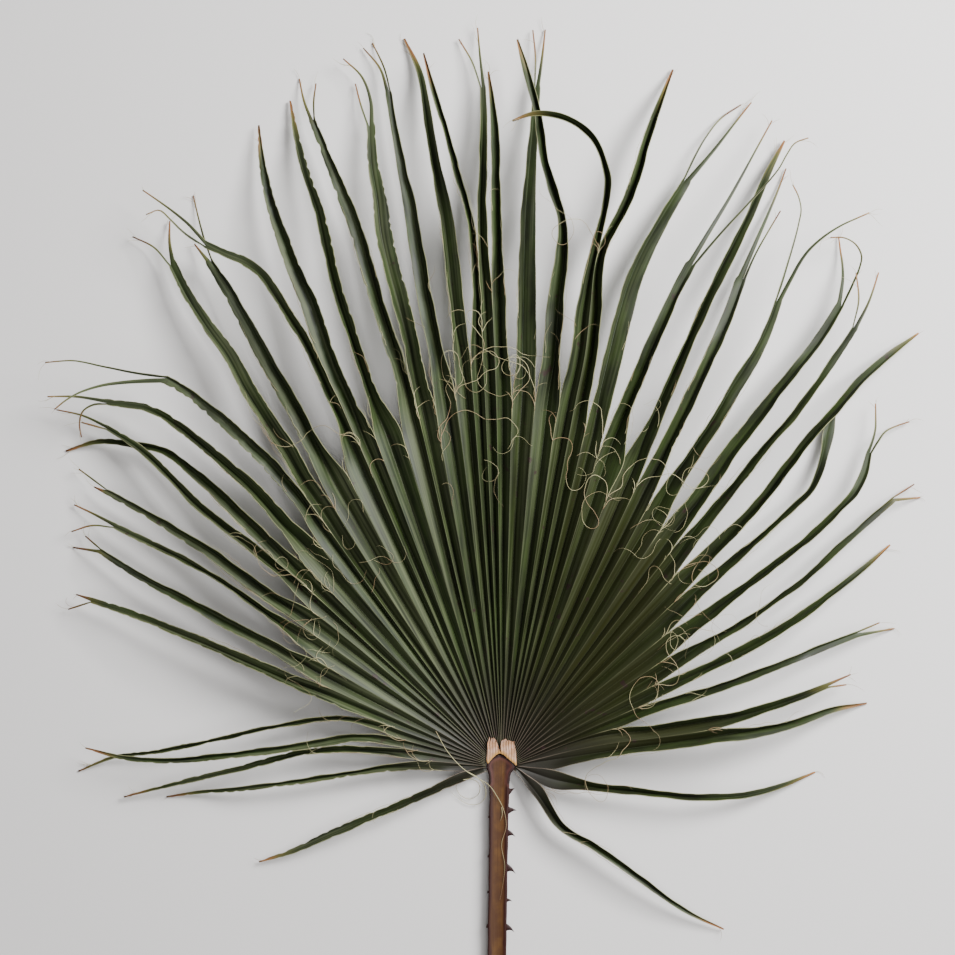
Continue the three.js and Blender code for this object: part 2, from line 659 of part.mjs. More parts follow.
// Collar flap: a papery plate with a slit and a torn upper edge, bent up a little towards that edge
function collarGeometry() {
  const outline = [
    [-1.2, 2.6], [3.4, 0.8], [8.2, -3.4], [12.6, -7.2], [16.2, -11.4], [18.2, -10.2], [16.8, -2], [16.2, 8],
    [15.4, 16.4], [12.6, 15.2], [10.2, 17.2], [7.4, 16], [4.6, 19], [1.4, 17.8], [-0.3, 9.4], [-0.8, 4.4],
    [-1.7, 4.6], [-2.6, 10.6], [-5.6, 17.2], [-8.4, 20.6], [-10.4, 19.2], [-11.6, 14.4], [-12.6, 21.4],
    [-14.6, 15.2], [-13.4, 6], [-14.4, -1], [-15.6, -7.4], [-13.4, -9.6], [-11, -6.4], [-7.6, -1.8],
    [-4.6, 1.4],
  ];
  const shape = outline.map(([x, y]) => new THREE.Vector2(x, y));
  const faces = THREE.ShapeUtils.triangulateShape(shape, []);
  const height = (x, y) => collarZ + 0.1 * Math.max(0, y) + 0.25 * Math.sin(x * 1.3);
  const n = outline.length;
  const vertices = [
    ...outline.map(([x, y]) => [x, y, height(x, y)]),
    ...outline.map(([x, y]) => [x, y, height(x, y) - collarThickness]),
  ];
  const triangles = [];
  faces.forEach(([a, b, c]) => triangles.push([a, b, c], [a + n, c + n, b + n]));
  for (let k = 0; k < n; k += 1) {
    const next = (k + 1) % n;
    triangles.push([k, k + n, next + n], [k, next + n, next]);
  }
  const geometry = new THREE.BufferGeometry();
  geometry.setAttribute("position", new THREE.Float32BufferAttribute(vertices.flat(), 3));
  geometry.setIndex(triangles.flat());
  geometry.computeVertexNormals();
  return geometry;
}

const group = new THREE.Group();
const add = (name, geometry, material) => {
  const mesh = new THREE.Mesh(geometry, material);
  mesh.name = name;
  group.add(mesh);
};
segments.forEach((segment, i) => {
  add(`segment_${String(i + 1).padStart(2, "0")}`, segmentGeometry(i), bladeMaterial());
});
add("petiole", stalkGeometry(), stalkMaterial());
add("hastula", collarGeometry(), collarMaterial());

export default group;
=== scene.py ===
import json
import math
import bpy
import numpy as np
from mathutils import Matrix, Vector
from mathutils.bvhtree import BVHTree

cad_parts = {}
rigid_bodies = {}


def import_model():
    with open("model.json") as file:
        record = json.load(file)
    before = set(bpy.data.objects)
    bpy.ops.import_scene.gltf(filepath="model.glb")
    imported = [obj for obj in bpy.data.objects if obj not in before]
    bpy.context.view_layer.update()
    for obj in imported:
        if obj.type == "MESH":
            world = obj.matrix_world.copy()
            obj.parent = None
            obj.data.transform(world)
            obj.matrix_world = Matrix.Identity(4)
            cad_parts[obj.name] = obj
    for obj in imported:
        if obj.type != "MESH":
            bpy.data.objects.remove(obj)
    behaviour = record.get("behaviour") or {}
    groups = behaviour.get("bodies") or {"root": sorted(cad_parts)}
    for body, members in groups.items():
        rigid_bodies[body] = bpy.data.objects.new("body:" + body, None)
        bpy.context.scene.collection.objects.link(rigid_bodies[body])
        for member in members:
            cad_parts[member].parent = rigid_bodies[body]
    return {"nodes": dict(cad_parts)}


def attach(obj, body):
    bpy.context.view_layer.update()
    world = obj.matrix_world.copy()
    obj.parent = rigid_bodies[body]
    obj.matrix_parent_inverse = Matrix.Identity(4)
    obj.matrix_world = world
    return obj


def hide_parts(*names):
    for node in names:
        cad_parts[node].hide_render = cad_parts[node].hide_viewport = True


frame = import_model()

bpy.context.view_layer.update()
print("frame loaded:", len(frame["nodes"]), "nodes")

mm = 0.001
gentle = {"interpolation_type": "SMOOTHSTEP"}  # for a range that eases in and out
colors = {"data_type": "RGBA"}

# The camera looks straight down on the middle of the leaf.
cameraSetup = {
    "lookAt": (-0.026, 0.3105),
    "height": 2.6,
    "lens": 87.3,  # millimetres, on a 36 mm sensor
}
cameraData = bpy.data.cameras.new("camera")
cameraData.lens = cameraSetup["lens"]
cameraData.clip_end = 20
camera = bpy.data.objects.new("camera", cameraData)
camera.location = (*cameraSetup["lookAt"], cameraSetup["height"])
bpy.context.scene.collection.objects.link(camera)
bpy.context.scene.camera = camera


def linearColor(hexText):
    parts = [int(hexText[i:i + 2], 16) / 255 for i in (1, 3, 5)]
    return [c / 12.92 if c <= 0.04045 else ((c + 0.055) / 1.055) ** 2.4 for c in parts] + [1.0]


def addNode(tree, kind, inputs=None, **settings):
    # inputs: socket name or number, to a value, a hex colour, an output or a node with one live output
    node = tree.nodes.new("ShaderNode" + kind)
    for name, value in settings.items():
        setattr(node, name, value)
    for key, value in (inputs or {}).items():
        if isinstance(value, bpy.types.Node):
            value = next(out for out in value.outputs if out.enabled)
        if isinstance(value, bpy.types.NodeSocket):
            tree.links.new(value, node.inputs[key])
        else:
            node.inputs[key].default_value = linearColor(value) if isinstance(value, str) else value
    return node


def newMaterial(name):
    material = bpy.data.materials.new(name)
    material.use_nodes = True
    material.node_tree.nodes.clear()
    return material, material.node_tree


def makeObject(name, points, faces, attributes=None):
    mesh = bpy.data.meshes.new(name)
    mesh.from_pydata([tuple(p) for p in points], [], [tuple(int(i) for i in f) for f in faces])
    mesh.validate()
    for key, values in (attributes or {}).items():
        layer = mesh.attributes.new(key, "FLOAT", "POINT")
        layer.data.foreach_set("value", np.asarray(values, dtype=np.float32))
    mesh.polygons.foreach_set("use_smooth", [True] * len(mesh.polygons))
    mesh.update()
    thing = bpy.data.objects.new(name, mesh)
    bpy.context.scene.collection.objects.link(thing)
    return thing


def finishPiece(thing, material, nodes):
    thing.data.materials.clear()
    thing.data.materials.append(material)
    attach(thing, "root")
    if nodes:
        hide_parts(*nodes)


def smoothThrough(knots, values, at):
    # a smooth curve that passes the values at the knots, read at other places
    gaps = np.diff(knots)
    slopes = np.diff(values, axis=0) / gaps[:, None]
    tangents = np.zeros_like(values)
    tangents[0], tangents[-1] = slopes[0], slopes[-1]
    if len(gaps) > 1:
        before, after = gaps[:-1, None], gaps[1:, None]
        tangents[1:-1] = (slopes[:-1] * after + slopes[1:] * before) / (before + after)
    i = np.clip(np.searchsorted(knots, at, side="right") - 1, 0, len(gaps) - 1)
    t = ((at - knots[i]) / gaps[i])[:, None]
    h = gaps[i][:, None]
    return ((1 + 2 * t) * (1 - t) ** 2 * values[i] + t * t * (3 - 2 * t) * values[i + 1]
            + h * t * (1 - t) * ((1 - t) * tangents[i] - t * tangents[i + 1]))


def easeStep(x, low, high):
    t = np.clip((x - low) / (high - low), 0, 1)
    return t * t * (3 - 2 * t)


# Every segment is drawn anew as a thin closed sheet along the three rails of the plain one.
segmentBuild = {
    "hub": (0, -0.012, 0.011),  # the ribs start round this point
    "ringPoints": 6,  # in each section of a plain segment
    "step": 4 * mm,  # along the segment
    "across": [-1, -0.95, -0.82, -0.62, -0.4, -0.2, -0.06, 0, 0.06, 0.2, 0.4, 0.62, 0.82, 0.95, 1],
    "skin": 0.36 * mm,
    "rib": (0.5 * mm, 0.8 * mm),  # how much thicker the sheet is at the groove, and how far that spreads
    "margin": (0.2 * mm, 0.5 * mm),  # the same at its margins
    "thinFrom": 0.03,  # ribs and margins thin out over this length before the tip
    "joinedGap": 0.7 * mm,  # margins nearer than this to their neighbour are joined to it
    "bulge": (0.05, 0.1),  # of each half of the fold and of a split end, as a share of its width
    "wave": 0.45 * mm,
    "waves": ((0.075, 1.0), (0.041, 0.6), (0.023, 0.3)),  # length, share of the height
    "waveSpan": (0.05, 0.12),  # waves grow over the first length past the seam, and calm over the second
    "waveSpread": 1.4,  # the power by which they fade towards the groove
    "forkWave": (0.35, 0.02, 0.05),  # the same for a split end: share of the height, and both lengths
    "unbend": 0.025,  # the fold straightens over about this length past the fork
    "pastFork": 0.02,  # what a fork adds to the length of its longer end
    "nibble": 1.9 * mm,  # how deep the free margins are worn away, mostly on the left-hand side
    "nibbles": ((0.012, 1.0), (0.00564, 0.7), (0.0276, 0.8)),  # length, size
    "spared": 0.35,  # the bites are cut off at this height, so that the margin stays whole between them
    "nibbleFrom": (0.02, 0.06),  # past the seam
    "wornSide": (0.42, 0.1),  # the share of segments, from the left, that are worn, and what the others get
    "greenTips": {"segment_38": 60},  # broken off, so the tip looks as if it lay this many mm further out
    "broadFrom": (0.005, 0.06),  # past the seam
    # number of the segment, how much broader its free part lies than the plain one
    "breadth": [(1, 1.0), (8, 1.05), (12, 1.16), (15, 1.28), (19, 1.26), (22, 1.12), (24, 1.1), (28, 1.28),
                (31, 1.25), (36, 1.12), (40, 1.05), (46, 1.0)],
    "seed": 100,
}


def solidPoints(node):
    # the points of a plain solid, with the numbers of the points that each one shares a face with
    mesh = node.data
    spots = np.zeros(len(mesh.vertices) * 3)
    mesh.vertices.foreach_get("co", spots)
    points, same = np.unique(np.round(spots.reshape(-1, 3), 7), axis=0, return_inverse=True)
    same = same.ravel()
    links = [set() for _ in points]
    for face in mesh.polygons:
        ids = [same[v] for v in face.vertices]
        for a in ids:
            links[a].update(b for b in ids if b != a)
    return points, links


def ringLevels(links, start, allowed):
    # steps from ring to ring through the allowed points
    seen, level, levels = set(start), set(start), [set(start)]
    while True:
        level = {b for a in level for b in links[a] if b in allowed and b not in seen}
        if not level:
            return levels
        seen |= level
        levels.append(level)


def upperPoints(points, ids):
    # the upper half of a ring: the lower points lie right under them
    rest = sorted(ids, key=lambda i: -points[i][2])
    tops = []
    while rest:
        top = rest.pop(0)
        below = min(rest, key=lambda i: np.hypot(*(points[i] - points[top])[:2]))
        rest.remove(below)
        tops.append(points[top])
    return np.array(tops)


def leftToRight(tops, heading):
    side = np.array([-heading[1], heading[0]])
    return tops[np.argsort(-(tops[:, :2] @ side))]


def orderedRings(rings, before=None):
    ordered = []
    for k, ring in enumerate(rings):
        centre = ring.mean(0)
        if before is not None or k:
            heading = centre - (ordered[-1].mean(0) if k else before)
        else:
            heading = rings[1].mean(0) - centre
        ordered.append(leftToRight(ring, heading[:2]))
    return ordered


def readRails(node):
    # rings of [left margin, groove, right margin], and the two narrower ends if the segment forks
    points, links = solidPoints(node)
    size = segmentBuild["ringPoints"]
    start = set(np.argsort(np.linalg.norm(points - segmentBuild["hub"], axis=1))[:size].tolist())
    everything = set(range(len(points)))
    levels = ringLevels(links, start, everything)
    count = next((k for k, level in enumerate(levels) if len(level) != size), len(levels))
    main = orderedRings([upperPoints(points, level) for level in levels[:count]])
    branches = []
    if count < len(levels):
        rest = everything - set().union(*levels[:count])
        while rest:
            piece = set().union(*ringLevels(links, {min(rest)}, rest))
            rest -= piece
            first = {i for i in piece if links[i] & levels[count - 1]}
            rings = [upperPoints(points, level) for level in ringLevels(links, first, piece)]
            branches.append(orderedRings(rings, main[-1].mean(0)))
        heading = main[-1].mean(0) - main[-2].mean(0)
        side = np.array([-heading[1], heading[0], 0])
        branches.sort(key=lambda rings: -(rings[0].mean(0) @ side))
    return np.array(main), [np.array(b) for b in branches]


def measured(points):
    # the length from the start to each point
    return np.r_[0, np.cumsum(np.linalg.norm(np.diff(points, axis=0), axis=1))]


def gridNormals(grid):
    alongWay = np.gradient(grid, axis=0)
    acrossWay = np.gradient(grid, axis=1)
    normals = np.cross(acrossWay, alongWay)
    return normals / np.maximum(np.linalg.norm(normals, axis=2, keepdims=True), 1e-12)


def gridFaces(top, bottom):
    # the upper and lower side of a sheet and its two long edges
    faces = []
    rows, columns = top.shape
    for r in range(rows - 1):
        for c in range(columns - 1):
            faces.append((top[r, c], top[r, c + 1], top[r + 1, c + 1], top[r + 1, c]))
            faces.append((bottom[r, c], bottom[r + 1, c], bottom[r + 1, c + 1], bottom[r, c + 1]))
        faces.append((top[r, 0], top[r + 1, 0], bottom[r + 1, 0], bottom[r, 0]))
        faces.append((top[r + 1, -1], top[r, -1], bottom[r, -1], bottom[r + 1, -1]))
    return faces


def capFaces(top, bottom, isStart):
    faces = []
    for c in range(len(top) - 1):
        face = (top[c], bottom[c], bottom[c + 1], top[c + 1])
        faces.append(face if isStart else face[::-1])
    return faces


class Sheet:
    # collects the upper and lower points of one segment with what its surface needs to know
    def __init__(self):
        self.points, self.faces, self.count = [], [], 0
        self.values = {key: [] for key in ("alongMm", "acrossMm", "edgeMm", "tipMm", "sinusMm", "under")}

    def rows(self, top, bottom, *lengths):
        # lengths: along, across, to the margin, to the tip and past the seam
        shape = top.shape[:2]
        ids = []
        for grid, under in ((top, 0.0), (bottom, 1.0)):
            ids.append(np.arange(self.count, self.count + shape[0] * shape[1]).reshape(shape))
            self.count += shape[0] * shape[1]
            self.points.append(grid.reshape(-1, 3))
            for key, value in zip(self.values, [length / mm for length in lengths] + [under]):
                self.values[key].append(np.broadcast_to(value, shape).ravel())
        return ids


def nibbled(rng, middle, side, along, free, share):
    # the free margin is drawn in towards the groove by small uneven bites
    look = segmentBuild
    depth = np.zeros_like(along)
    for length, size in look["nibbles"]:
        turn = along / (length * rng.uniform(0.8, 1.2)) + rng.uniform()
        depth += size * np.sin(2 * math.pi * turn)
    bite = look["nibble"] * np.clip(depth - look["spared"], 0, 1.4) * free * rng.uniform(0.2, 1.0) * share
    inward = np.clip(bite / np.linalg.norm(side - middle, axis=1), 0, 0.25)
    return side + (middle - side) * inward[:, None]


def waveOf(rng, along, free):
    total = np.zeros_like(along)
    for length, size in segmentBuild["waves"]:
        total += size * np.sin(2 * math.pi * (along / (length * rng.uniform(0.8, 1.25)) + rng.uniform()))
    return total * free


def crossRows(left, middle, right, u, sideWaves):
    # rows of points from the left margin over the groove to the right margin
    look = segmentBuild
    side = np.where(u[None, :, None] < 0, left[:, None, :], right[:, None, :])
    grid = middle[:, None, :] + (side - middle[:, None, :]) * np.abs(u)[None, :, None]
    reach = np.linalg.norm(side - middle[:, None, :], axis=2)
    arch = 4 * np.abs(u) * (1 - np.abs(u))
    waves = np.where(u[None, :] < 0, sideWaves[0][:, None], sideWaves[1][:, None])
    lift = look["bulge"][0] * reach * arch[None, :] + waves * np.abs(u)[None, :] ** look["waveSpread"]
    return grid + gridNormals(grid) * lift[..., None], reach


def skinBelow(grid, across, edge, tip):
    look = segmentBuild
    rib, margin = (size * np.exp(-(away / spread) ** 2)
                   for away, (size, spread) in ((across, look["rib"]), (edge, look["margin"])))
    thickness = look["skin"] + (rib + margin) * np.clip(tip / look["thinFrom"], 0.15, 1)
    return grid - gridNormals(grid) * thickness[..., None]


rails = {}
for name in sorted(n for n in frame["nodes"] if n.startswith("segment_")):
    rails[name] = readRails(frame["nodes"][name])
segmentNames = sorted(rails)
print("rails read:", len(rails), "segments")


def nearestOn(point, line):
    gaps = np.linalg.norm(line - point, axis=1)
    k = int(np.argmin(gaps))
    return line[k], gaps[k]


def fineLine(points, step):
    knots = measured(points)
    return smoothThrough(knots, points, np.arange(0, knots[-1], step))


def joinMargins(k):
    # lays the closed seams of a segment on those of its neighbours
    main = rails[segmentNames[k]][0]
    joined = np.zeros((len(main), 2), bool)
    for column, other in ((0, k - 1), (2, k + 1)):
        if not 0 <= other < len(segmentNames):
            continue
        line = fineLine(rails[segmentNames[other]][0][:, 2 - column], 0.5 * mm)
        for r in range(len(main)):
            spot, gap = nearestOn(main[r, column], line)
            if gap >= segmentBuild["joinedGap"]:
                break
            joined[r, column // 2] = True
            main[r, column] = (main[r, column] + spot) / 2
    return joined


joinEnds = []  # where each seam lets go
for k, name in enumerate(segmentNames):
    joined = joinMargins(k)
    last = int(joined[:, 1].sum()) - 1
    if last > 0:
        joinEnds.append(rails[name][0][last, 2].copy())
    rails[name] = (*rails[name], joined)


def addForkEnd(rng, sheet, b, rings, ends, total, sinusAt):
    # one of the two ends of a split tip: b is 0 for the left one and 1 for the right one
    look = segmentBuild
    lastRow, lastTop, lastBottom = ends  # the points and point numbers that the end carries on from
    u = np.array(look["across"])
    half = len(u) // 2
    columns = slice(0, half + 1) if b == 0 else slice(half, len(u))
    marks = measured(rings.mean(1))
    steps = np.linspace(0, marks[-1], max(4, int(marks[-1] / look["step"])))[1:]
    left, right = (smoothThrough(marks, rings[:, i], steps) for i in (0, 1))
    v = np.abs(u[columns])
    v = (v.max() - v) if b == 0 else v  # 0 at the left rail, 1 at the right one
    v = v / v.max()
    grid = left[:, None, :] + (right - left)[:, None, :] * v[None, :, None]
    height, rise, fall = look["forkWave"]
    wave = height * look["wave"] * waveOf(rng, steps, np.ones_like(steps))
    fade = np.clip(steps / rise, 0, 1) * np.clip((marks[-1] - steps) / fall, 0, 1)
    width = np.linalg.norm(right - left, axis=1)
    before = lastRow[columns]
    bent = before - (before[0] + (before[-1] - before[0]) * v[:, None])  # straightens out beyond the fork
    grid = grid + bent[None] * np.exp(-steps / look["unbend"])[:, None, None]
    bulge = look["bulge"][1] * width[:, None] * (4 * v * (1 - v))[None, :]
    grid = grid + gridNormals(grid) * ((wave * fade)[:, None] + bulge)[..., None]
    tip = (marks[-1] - steps)[:, None] * np.ones_like(v)[None, :]
    across = width[:, None] * (v - 1 if b == 0 else v)[None, :]
    edge = width[:, None] * np.minimum(v, 1 - v)[None, :]
    below = skinBelow(np.r_[before[None], grid], *(np.r_[m[:1], m] for m in (across, edge, tip)))[1:]
    along = (total + steps)[:, None]
    topIds, bottomIds = sheet.rows(grid, below, along, across, edge, tip, along - sinusAt)
    topIds = np.r_[lastTop[None, columns], topIds]
    bottomIds = np.r_[lastBottom[None, columns], bottomIds]
    sheet.faces += gridFaces(topIds, bottomIds) + capFaces(topIds[-1], bottomIds[-1], False)


def buildSegment(name, index):
    main, branches, joined = rails[name]
    look = segmentBuild
    rng = np.random.default_rng(look["seed"] + index)
    knots = measured(main[:, 1])
    total = knots[-1]
    beyond = max((measured(b.mean(1))[-1] + look["pastFork"] for b in branches), default=0.0)
    at = np.linspace(0, total, max(8, int(total / look["step"])))
    left, middle, right = (smoothThrough(knots, main[:, c], at) for c in (0, 1, 2))
    joinedTo = [knots[max(int(joined[:, c].sum()) - 1, 0)] for c in (0, 1)]
    breadth = np.interp(index + 1, *zip(*look["breadth"])) - 1
    worn = look["wornSide"][1] if index > look["wornSide"][0] * len(segmentNames) else 1.0
    sides = []
    for side, j in zip((left, right), joinedTo):
        broader = 1 + breadth * easeStep(at, *(j + past for past in look["broadFrom"]))[:, None]
        free = easeStep(at, *(j + past for past in look["nibbleFrom"]))
        sides.append(nibbled(rng, middle, middle + (side - middle) * broader, at, free, worn))
    rise, fall = look["waveSpan"]
    fade = np.clip((total + beyond - at) / fall, 0.2, 1)
    waves = [look["wave"] * waveOf(rng, at, easeStep(at, j, j + rise)) * fade for j in joinedTo]
    u = np.array(look["across"])
    top, reach = crossRows(sides[0], middle, sides[1], u, waves)
    across = reach * u[None, :]
    edge = reach * (1 - np.abs(u))[None, :]
    tip = (total + beyond - at)[:, None] * np.ones_like(u)[None, :]
    sinus = at[:, None] - np.where(u[None, :] < 0, joinedTo[0], joinedTo[1])
    sheet = Sheet()
    bottom = skinBelow(top, across, edge, tip)
    topIds, bottomIds = sheet.rows(top, bottom, at[:, None], across, edge, tip, sinus)
    sheet.faces += gridFaces(topIds, bottomIds) + capFaces(topIds[0], bottomIds[0], True)
    if not branches:
        sheet.faces += capFaces(topIds[-1], bottomIds[-1], False)
    for b, branch in enumerate(branches):
        rings = np.concatenate([main[-1, b:b + 2][None], branch])
        addForkEnd(rng, sheet, b, rings, (top[-1], topIds[-1], bottomIds[-1]), total, max(joinedTo))
    values = {key: np.concatenate(v) for key, v in sheet.values.items()}
    values["tipMm"] = values["tipMm"] + look["greenTips"].get(name, 0)
    values["tone"] = np.full(sheet.count, rng.uniform())
    values["rank"] = np.full(sheet.count, index / (len(segmentNames) - 1))
    return makeObject("blade_" + name[-2:], np.concatenate(sheet.points), sheet.faces, values)


# Palm blade: green tissue under a waxy cuticle, ribbed by fibres and grown as one folded sheet. It gives the
# eye fine lengthwise veins, a soft grey-green sheen where a fold faces the light, pale margins and dry tips.
# The paler grey-green on the left-hand side is painted sheen laid into the colour.
bladeLook = {
    "deep": "#0F1609", "green": "#2B3A16", "olive": "#24260A", "bloom": "#575E42", "margin": "#A3A177",
    "base": "#150F0A", "baseMargin": "#84706A", "yellow": "#6E6A36", "dry": "#A06E40", "dryDark": "#4E3428",
    "bruise": "#2C1B1C", "under": "#56633E",
    "veinMm": (1.0, 200), "streakMm": (3.4, 200), "patchMm": (12.5, 45), "blotchMm": 14,  # across, along
    "roughness": 0.55, "ior": 1.5, "shine": 0.3, "coat": 0.05, "coatRoughness": 0.4, "reliefMm": 0.5,
}


def bladeMaterial():
    look = bladeLook
    material, tree = newMaterial("waxyPalmBlade")
    along, across, edge, tip, sinus, tone, under, rank = (
        addNode(tree, "Attribute", attribute_name=name).outputs["Fac"]
        for name in ("alongMm", "acrossMm", "edgeMm", "tipMm", "sinusMm", "tone", "under", "rank"))
    shift = addNode(tree, "Math", {0: tone, 1: 37.0}, operation="MULTIPLY")

    # veins and streaks run along the segment, so their pattern is stretched that way
    patterns = []
    for key, detail in (("veinMm", 2.0), ("streakMm", 2.0), ("patchMm", 4.0)):
        x, y = (addNode(tree, "Math", {0: way, 1: 1 / size}, operation="MULTIPLY")
                for way, size in zip((across, along), look[key]))
        spot = addNode(tree, "CombineXYZ", {0: x, 1: y, 2: shift})
        patterns.append(addNode(tree, "TexNoise", {"Vector": spot, "Scale": 1.0, "Detail": detail}))
    veins, streaks, patches = patterns
    place = addNode(tree, "TexCoord").outputs["Object"]
    blotches = addNode(tree, "TexNoise", {"Vector": place, "Scale": 1000 / look["blotchMm"], "Detail": 3.0})

    # tips wither raggedly
    raggedA = addNode(tree, "Math", {0: patches, 1: 60.0, 2: -30.0}, operation="MULTIPLY_ADD")
    raggedB = addNode(tree, "Math", {0: streaks, 1: 50.0, 2: -25.0}, operation="MULTIPLY_ADD")
    ragged = addNode(tree, "Math", {0: raggedA, 1: raggedB}, operation="ADD")
    ragged = addNode(tree, "Math", {0: ragged, 1: tip}, operation="ADD")

    # what each amount follows, from, to, and the amounts there
    # painted sheen: the bloom is laid on thickly on the left-hand folds, which face the light, and thinly
    # towards the right
    paintedSheenSide = addNode(tree, "MapRange", {0: rank, 1: 0.3, 2: 0.75, 3: 0.8, 4: 0.15})
    amounts = {
        "green": (patches, 0.3, 0.72),
        "paintedShadeRight": (rank, 0.5, 0.8, 0.0, 0.75),  # painted shade: a darker olive on the right-hand side
        "fused": (sinus, -50.0, 40.0, 1.0, 0.25),
        "bloom": (streaks, 0.35, 0.75, 0.0, paintedSheenSide),  # the wax lies in streaks; its paler grey-green is painted sheen, strongest on the left-hand side and fading to the right
        "vein": (veins, 0.42, 0.7, 0.0, 0.35),
        "base": (along, 15.0, 150.0, 0.85, 0.0),  # brown where the ribs leave the stalk
        "bruise": (blotches, 0.66, 0.74, 0.0, 0.8),
        "line": (edge, 0.15, 0.6, 1.0, 0.0),  # the margin is a pale fibre, faint in a closed seam
        "opened": (sinus, -28.0, 0.0, 0.08, 0.8),  # and clear from just before the seam lets go
        "atHub": (along, 15.0, 95.0, 0.36, 0.0),
        "yellow": (ragged, 12.0, 52.0, 0.6, 0.0),
        "dry": (ragged, 4.0, 30.0, 1.0, 0.0),
    }
    amounts = {key: addNode(tree, "MapRange", dict(enumerate(row)), **gentle) for key, row in amounts.items()}
    # the olive follows the random tone, which is the leaf's own, plus the painted shade on the right-hand
    # side
    olive = addNode(tree, "Math", {0: tone, 1: 0.35}, operation="MULTIPLY")
    olive = addNode(tree, "Math", {0: olive, 1: amounts["paintedShadeRight"]}, operation="ADD", use_clamp=True)
    amounts["olive"] = addNode(tree, "Math", {0: olive, 1: amounts["fused"]}, operation="MULTIPLY")
    opened = addNode(tree, "Math", {0: amounts["opened"], 1: amounts["atHub"]}, operation="MAXIMUM")
    broken = addNode(tree, "MapRange", {0: patches, 1: 0.3, 2: 0.55, 3: 0.35, 4: 1.0})
    for part in (opened, broken):
        amounts["line"] = addNode(tree, "Math", {0: amounts["line"], 1: part}, operation="MULTIPLY")
    amounts["below"] = addNode(tree, "Math", {0: under, 1: 0.55}, operation="MULTIPLY")
    shades = {"vein": look["deep"], "below": look["under"]}
    shades["line"] = addNode(tree, "Mix", {0: amounts["base"], 6: look["margin"], 7: look["baseMargin"]},
                             **colors)
    dryShade = addNode(tree, "MapRange", {0: veins, 1: 0.35, 2: 0.7})
    shades["dry"] = addNode(tree, "Mix", {0: dryShade, 6: look["dryDark"], 7: look["dry"]}, **colors)
    color = look["deep"]
    for key in ("green", "olive", "bloom", "vein", "base", "bruise", "line", "yellow", "dry", "below"):
        shade = shades[key] if key in shades else look[key]
        color = addNode(tree, "Mix", {0: amounts[key], 6: color, 7: shade}, **colors)

    # worn streaks are duller than the wax between them, and dry tissue is matt
    waxRough = addNode(tree, "MapRange", {0: streaks, 1: 0.3, 2: 0.8, 3: look["roughness"] - 0.06,
                                          4: look["roughness"] + 0.12})
    rough = addNode(tree, "Math", {0: amounts["dry"], 1: 0.3, 2: waxRough}, operation="MULTIPLY_ADD",
                    use_clamp=True)
    relief = addNode(tree, "Math", {0: veins, 1: 0.6, 2: streaks}, operation="MULTIPLY_ADD")
    bump = addNode(tree, "Bump", {"Height": relief, "Strength": 0.4, "Distance": look["reliefMm"] * mm})
    surface = addNode(tree, "BsdfPrincipled", {
        "Base Color": color, "Roughness": rough, "IOR": look["ior"], "Specular IOR Level": look["shine"],
        "Coat Weight": look["coat"], "Coat Roughness": look["coatRoughness"], "Normal": bump})
    addNode(tree, "OutputMaterial", {"Surface": surface})
    return material


blade = bladeMaterial()
for index, name in enumerate(segmentNames):
    piece = buildSegment(name, index)
    finishPiece(piece, blade, [name])
print("blade built:", len(segmentNames), "segments")

stalkBuild = {
    # from y, to y, step
    "stations": [(-290, -26, 3.0), (-26, -12, 1.0), (-12, 2.4, 0.35), (2.6, 46.1, 2.17)],
    "columns": 72,  # points round the stalk
    # y, half the width between the upper margins
    "halfWidths": [(-290, 10.2), (-200, 10.5), (-60, 10.9), (-30, 11.5), (-20, 12.4), (-15, 14.2),
                   (-10, 14.3), (-6.6, 13.0), (-3.3, 10.4), (-1.2, 6.6), (0.2, 2.6), (1.2, 1.2)],
    "archFrom": -16,  # past this y the margins close into an arch
    # y, half width below, top height, height of the underside
    "keel": [(-290, 10.2, 12, 0), (-30, 11.2, 12, 0), (-10, 13.6, 12.3, 0), (0.2, 10.4, 12.3, 0),
             (2.2, 8.8, 8.4, 0), (8, 7.6, 8.2, 0), (24, 5.2, 8.6, 1.4), (46, 2.4, 9.8, 5.4)],
    "middle": (-1.6, -31, 0.0139),  # x there, y there, how x changes along the stalk
    "shoulder": (3.4, -12.5, 6.0),  # how much further the right shoulder stands out, its y and its spread
    # y of the root, y of the tip, how far the tip is from x = 0, length of the root
    "teethRight": [(-40.5, -36.7, 15.6, 9), (-61.5, -61.5, 17.6, 9), (-87, -91, 16.2, 8),
                   (-126, -132.5, 16.6, 9), (-162, -163.5, 12.6, 5), (-192.5, -198, 15.2, 8),
                   (-228, -233, 14.2, 8), (-262, -268, 14.6, 8)],
    "teethLeft": [(-69, -71, 14.0, 5), (-113, -115.5, 14.4, 5), (-153, -155, 14.8, 4), (-191, -195, 16.2, 6),
                  (-236, -239, 15.8, 5), (-270, -273, 16.2, 5)],
    "toothRoot": 9.2,  # how far from the middle of the stalk a tooth begins, inside the margin
    "toothSides": 12,
    "toothSteps": 12,
}


def stalkMiddle(y):
    x0, y0, slope = stalkBuild["middle"]
    return x0 + (y - y0) * slope


def shoulderAt(y):
    size, y0, spread = stalkBuild["shoulder"]
    return size * math.exp(-((y - y0) / spread) ** 2)


def upperHalfWidth(y):
    table = np.array(stalkBuild["halfWidths"], float)
    if y > stalkBuild["archFrom"]:
        return float(np.interp(y, table[:, 0], table[:, 1]))
    return float(smoothThrough(table[:, 0], table[:, [1]], np.array([y]))[0, 0])


def closedSmooth(points, count):
    # a closed smooth loop through the points
    n = len(points)
    loop = np.concatenate([points[-2:], points, points[:3]])
    knots = measured(loop)
    return smoothThrough(knots, loop, np.linspace(knots[2], knots[2 + n], count, endpoint=False))


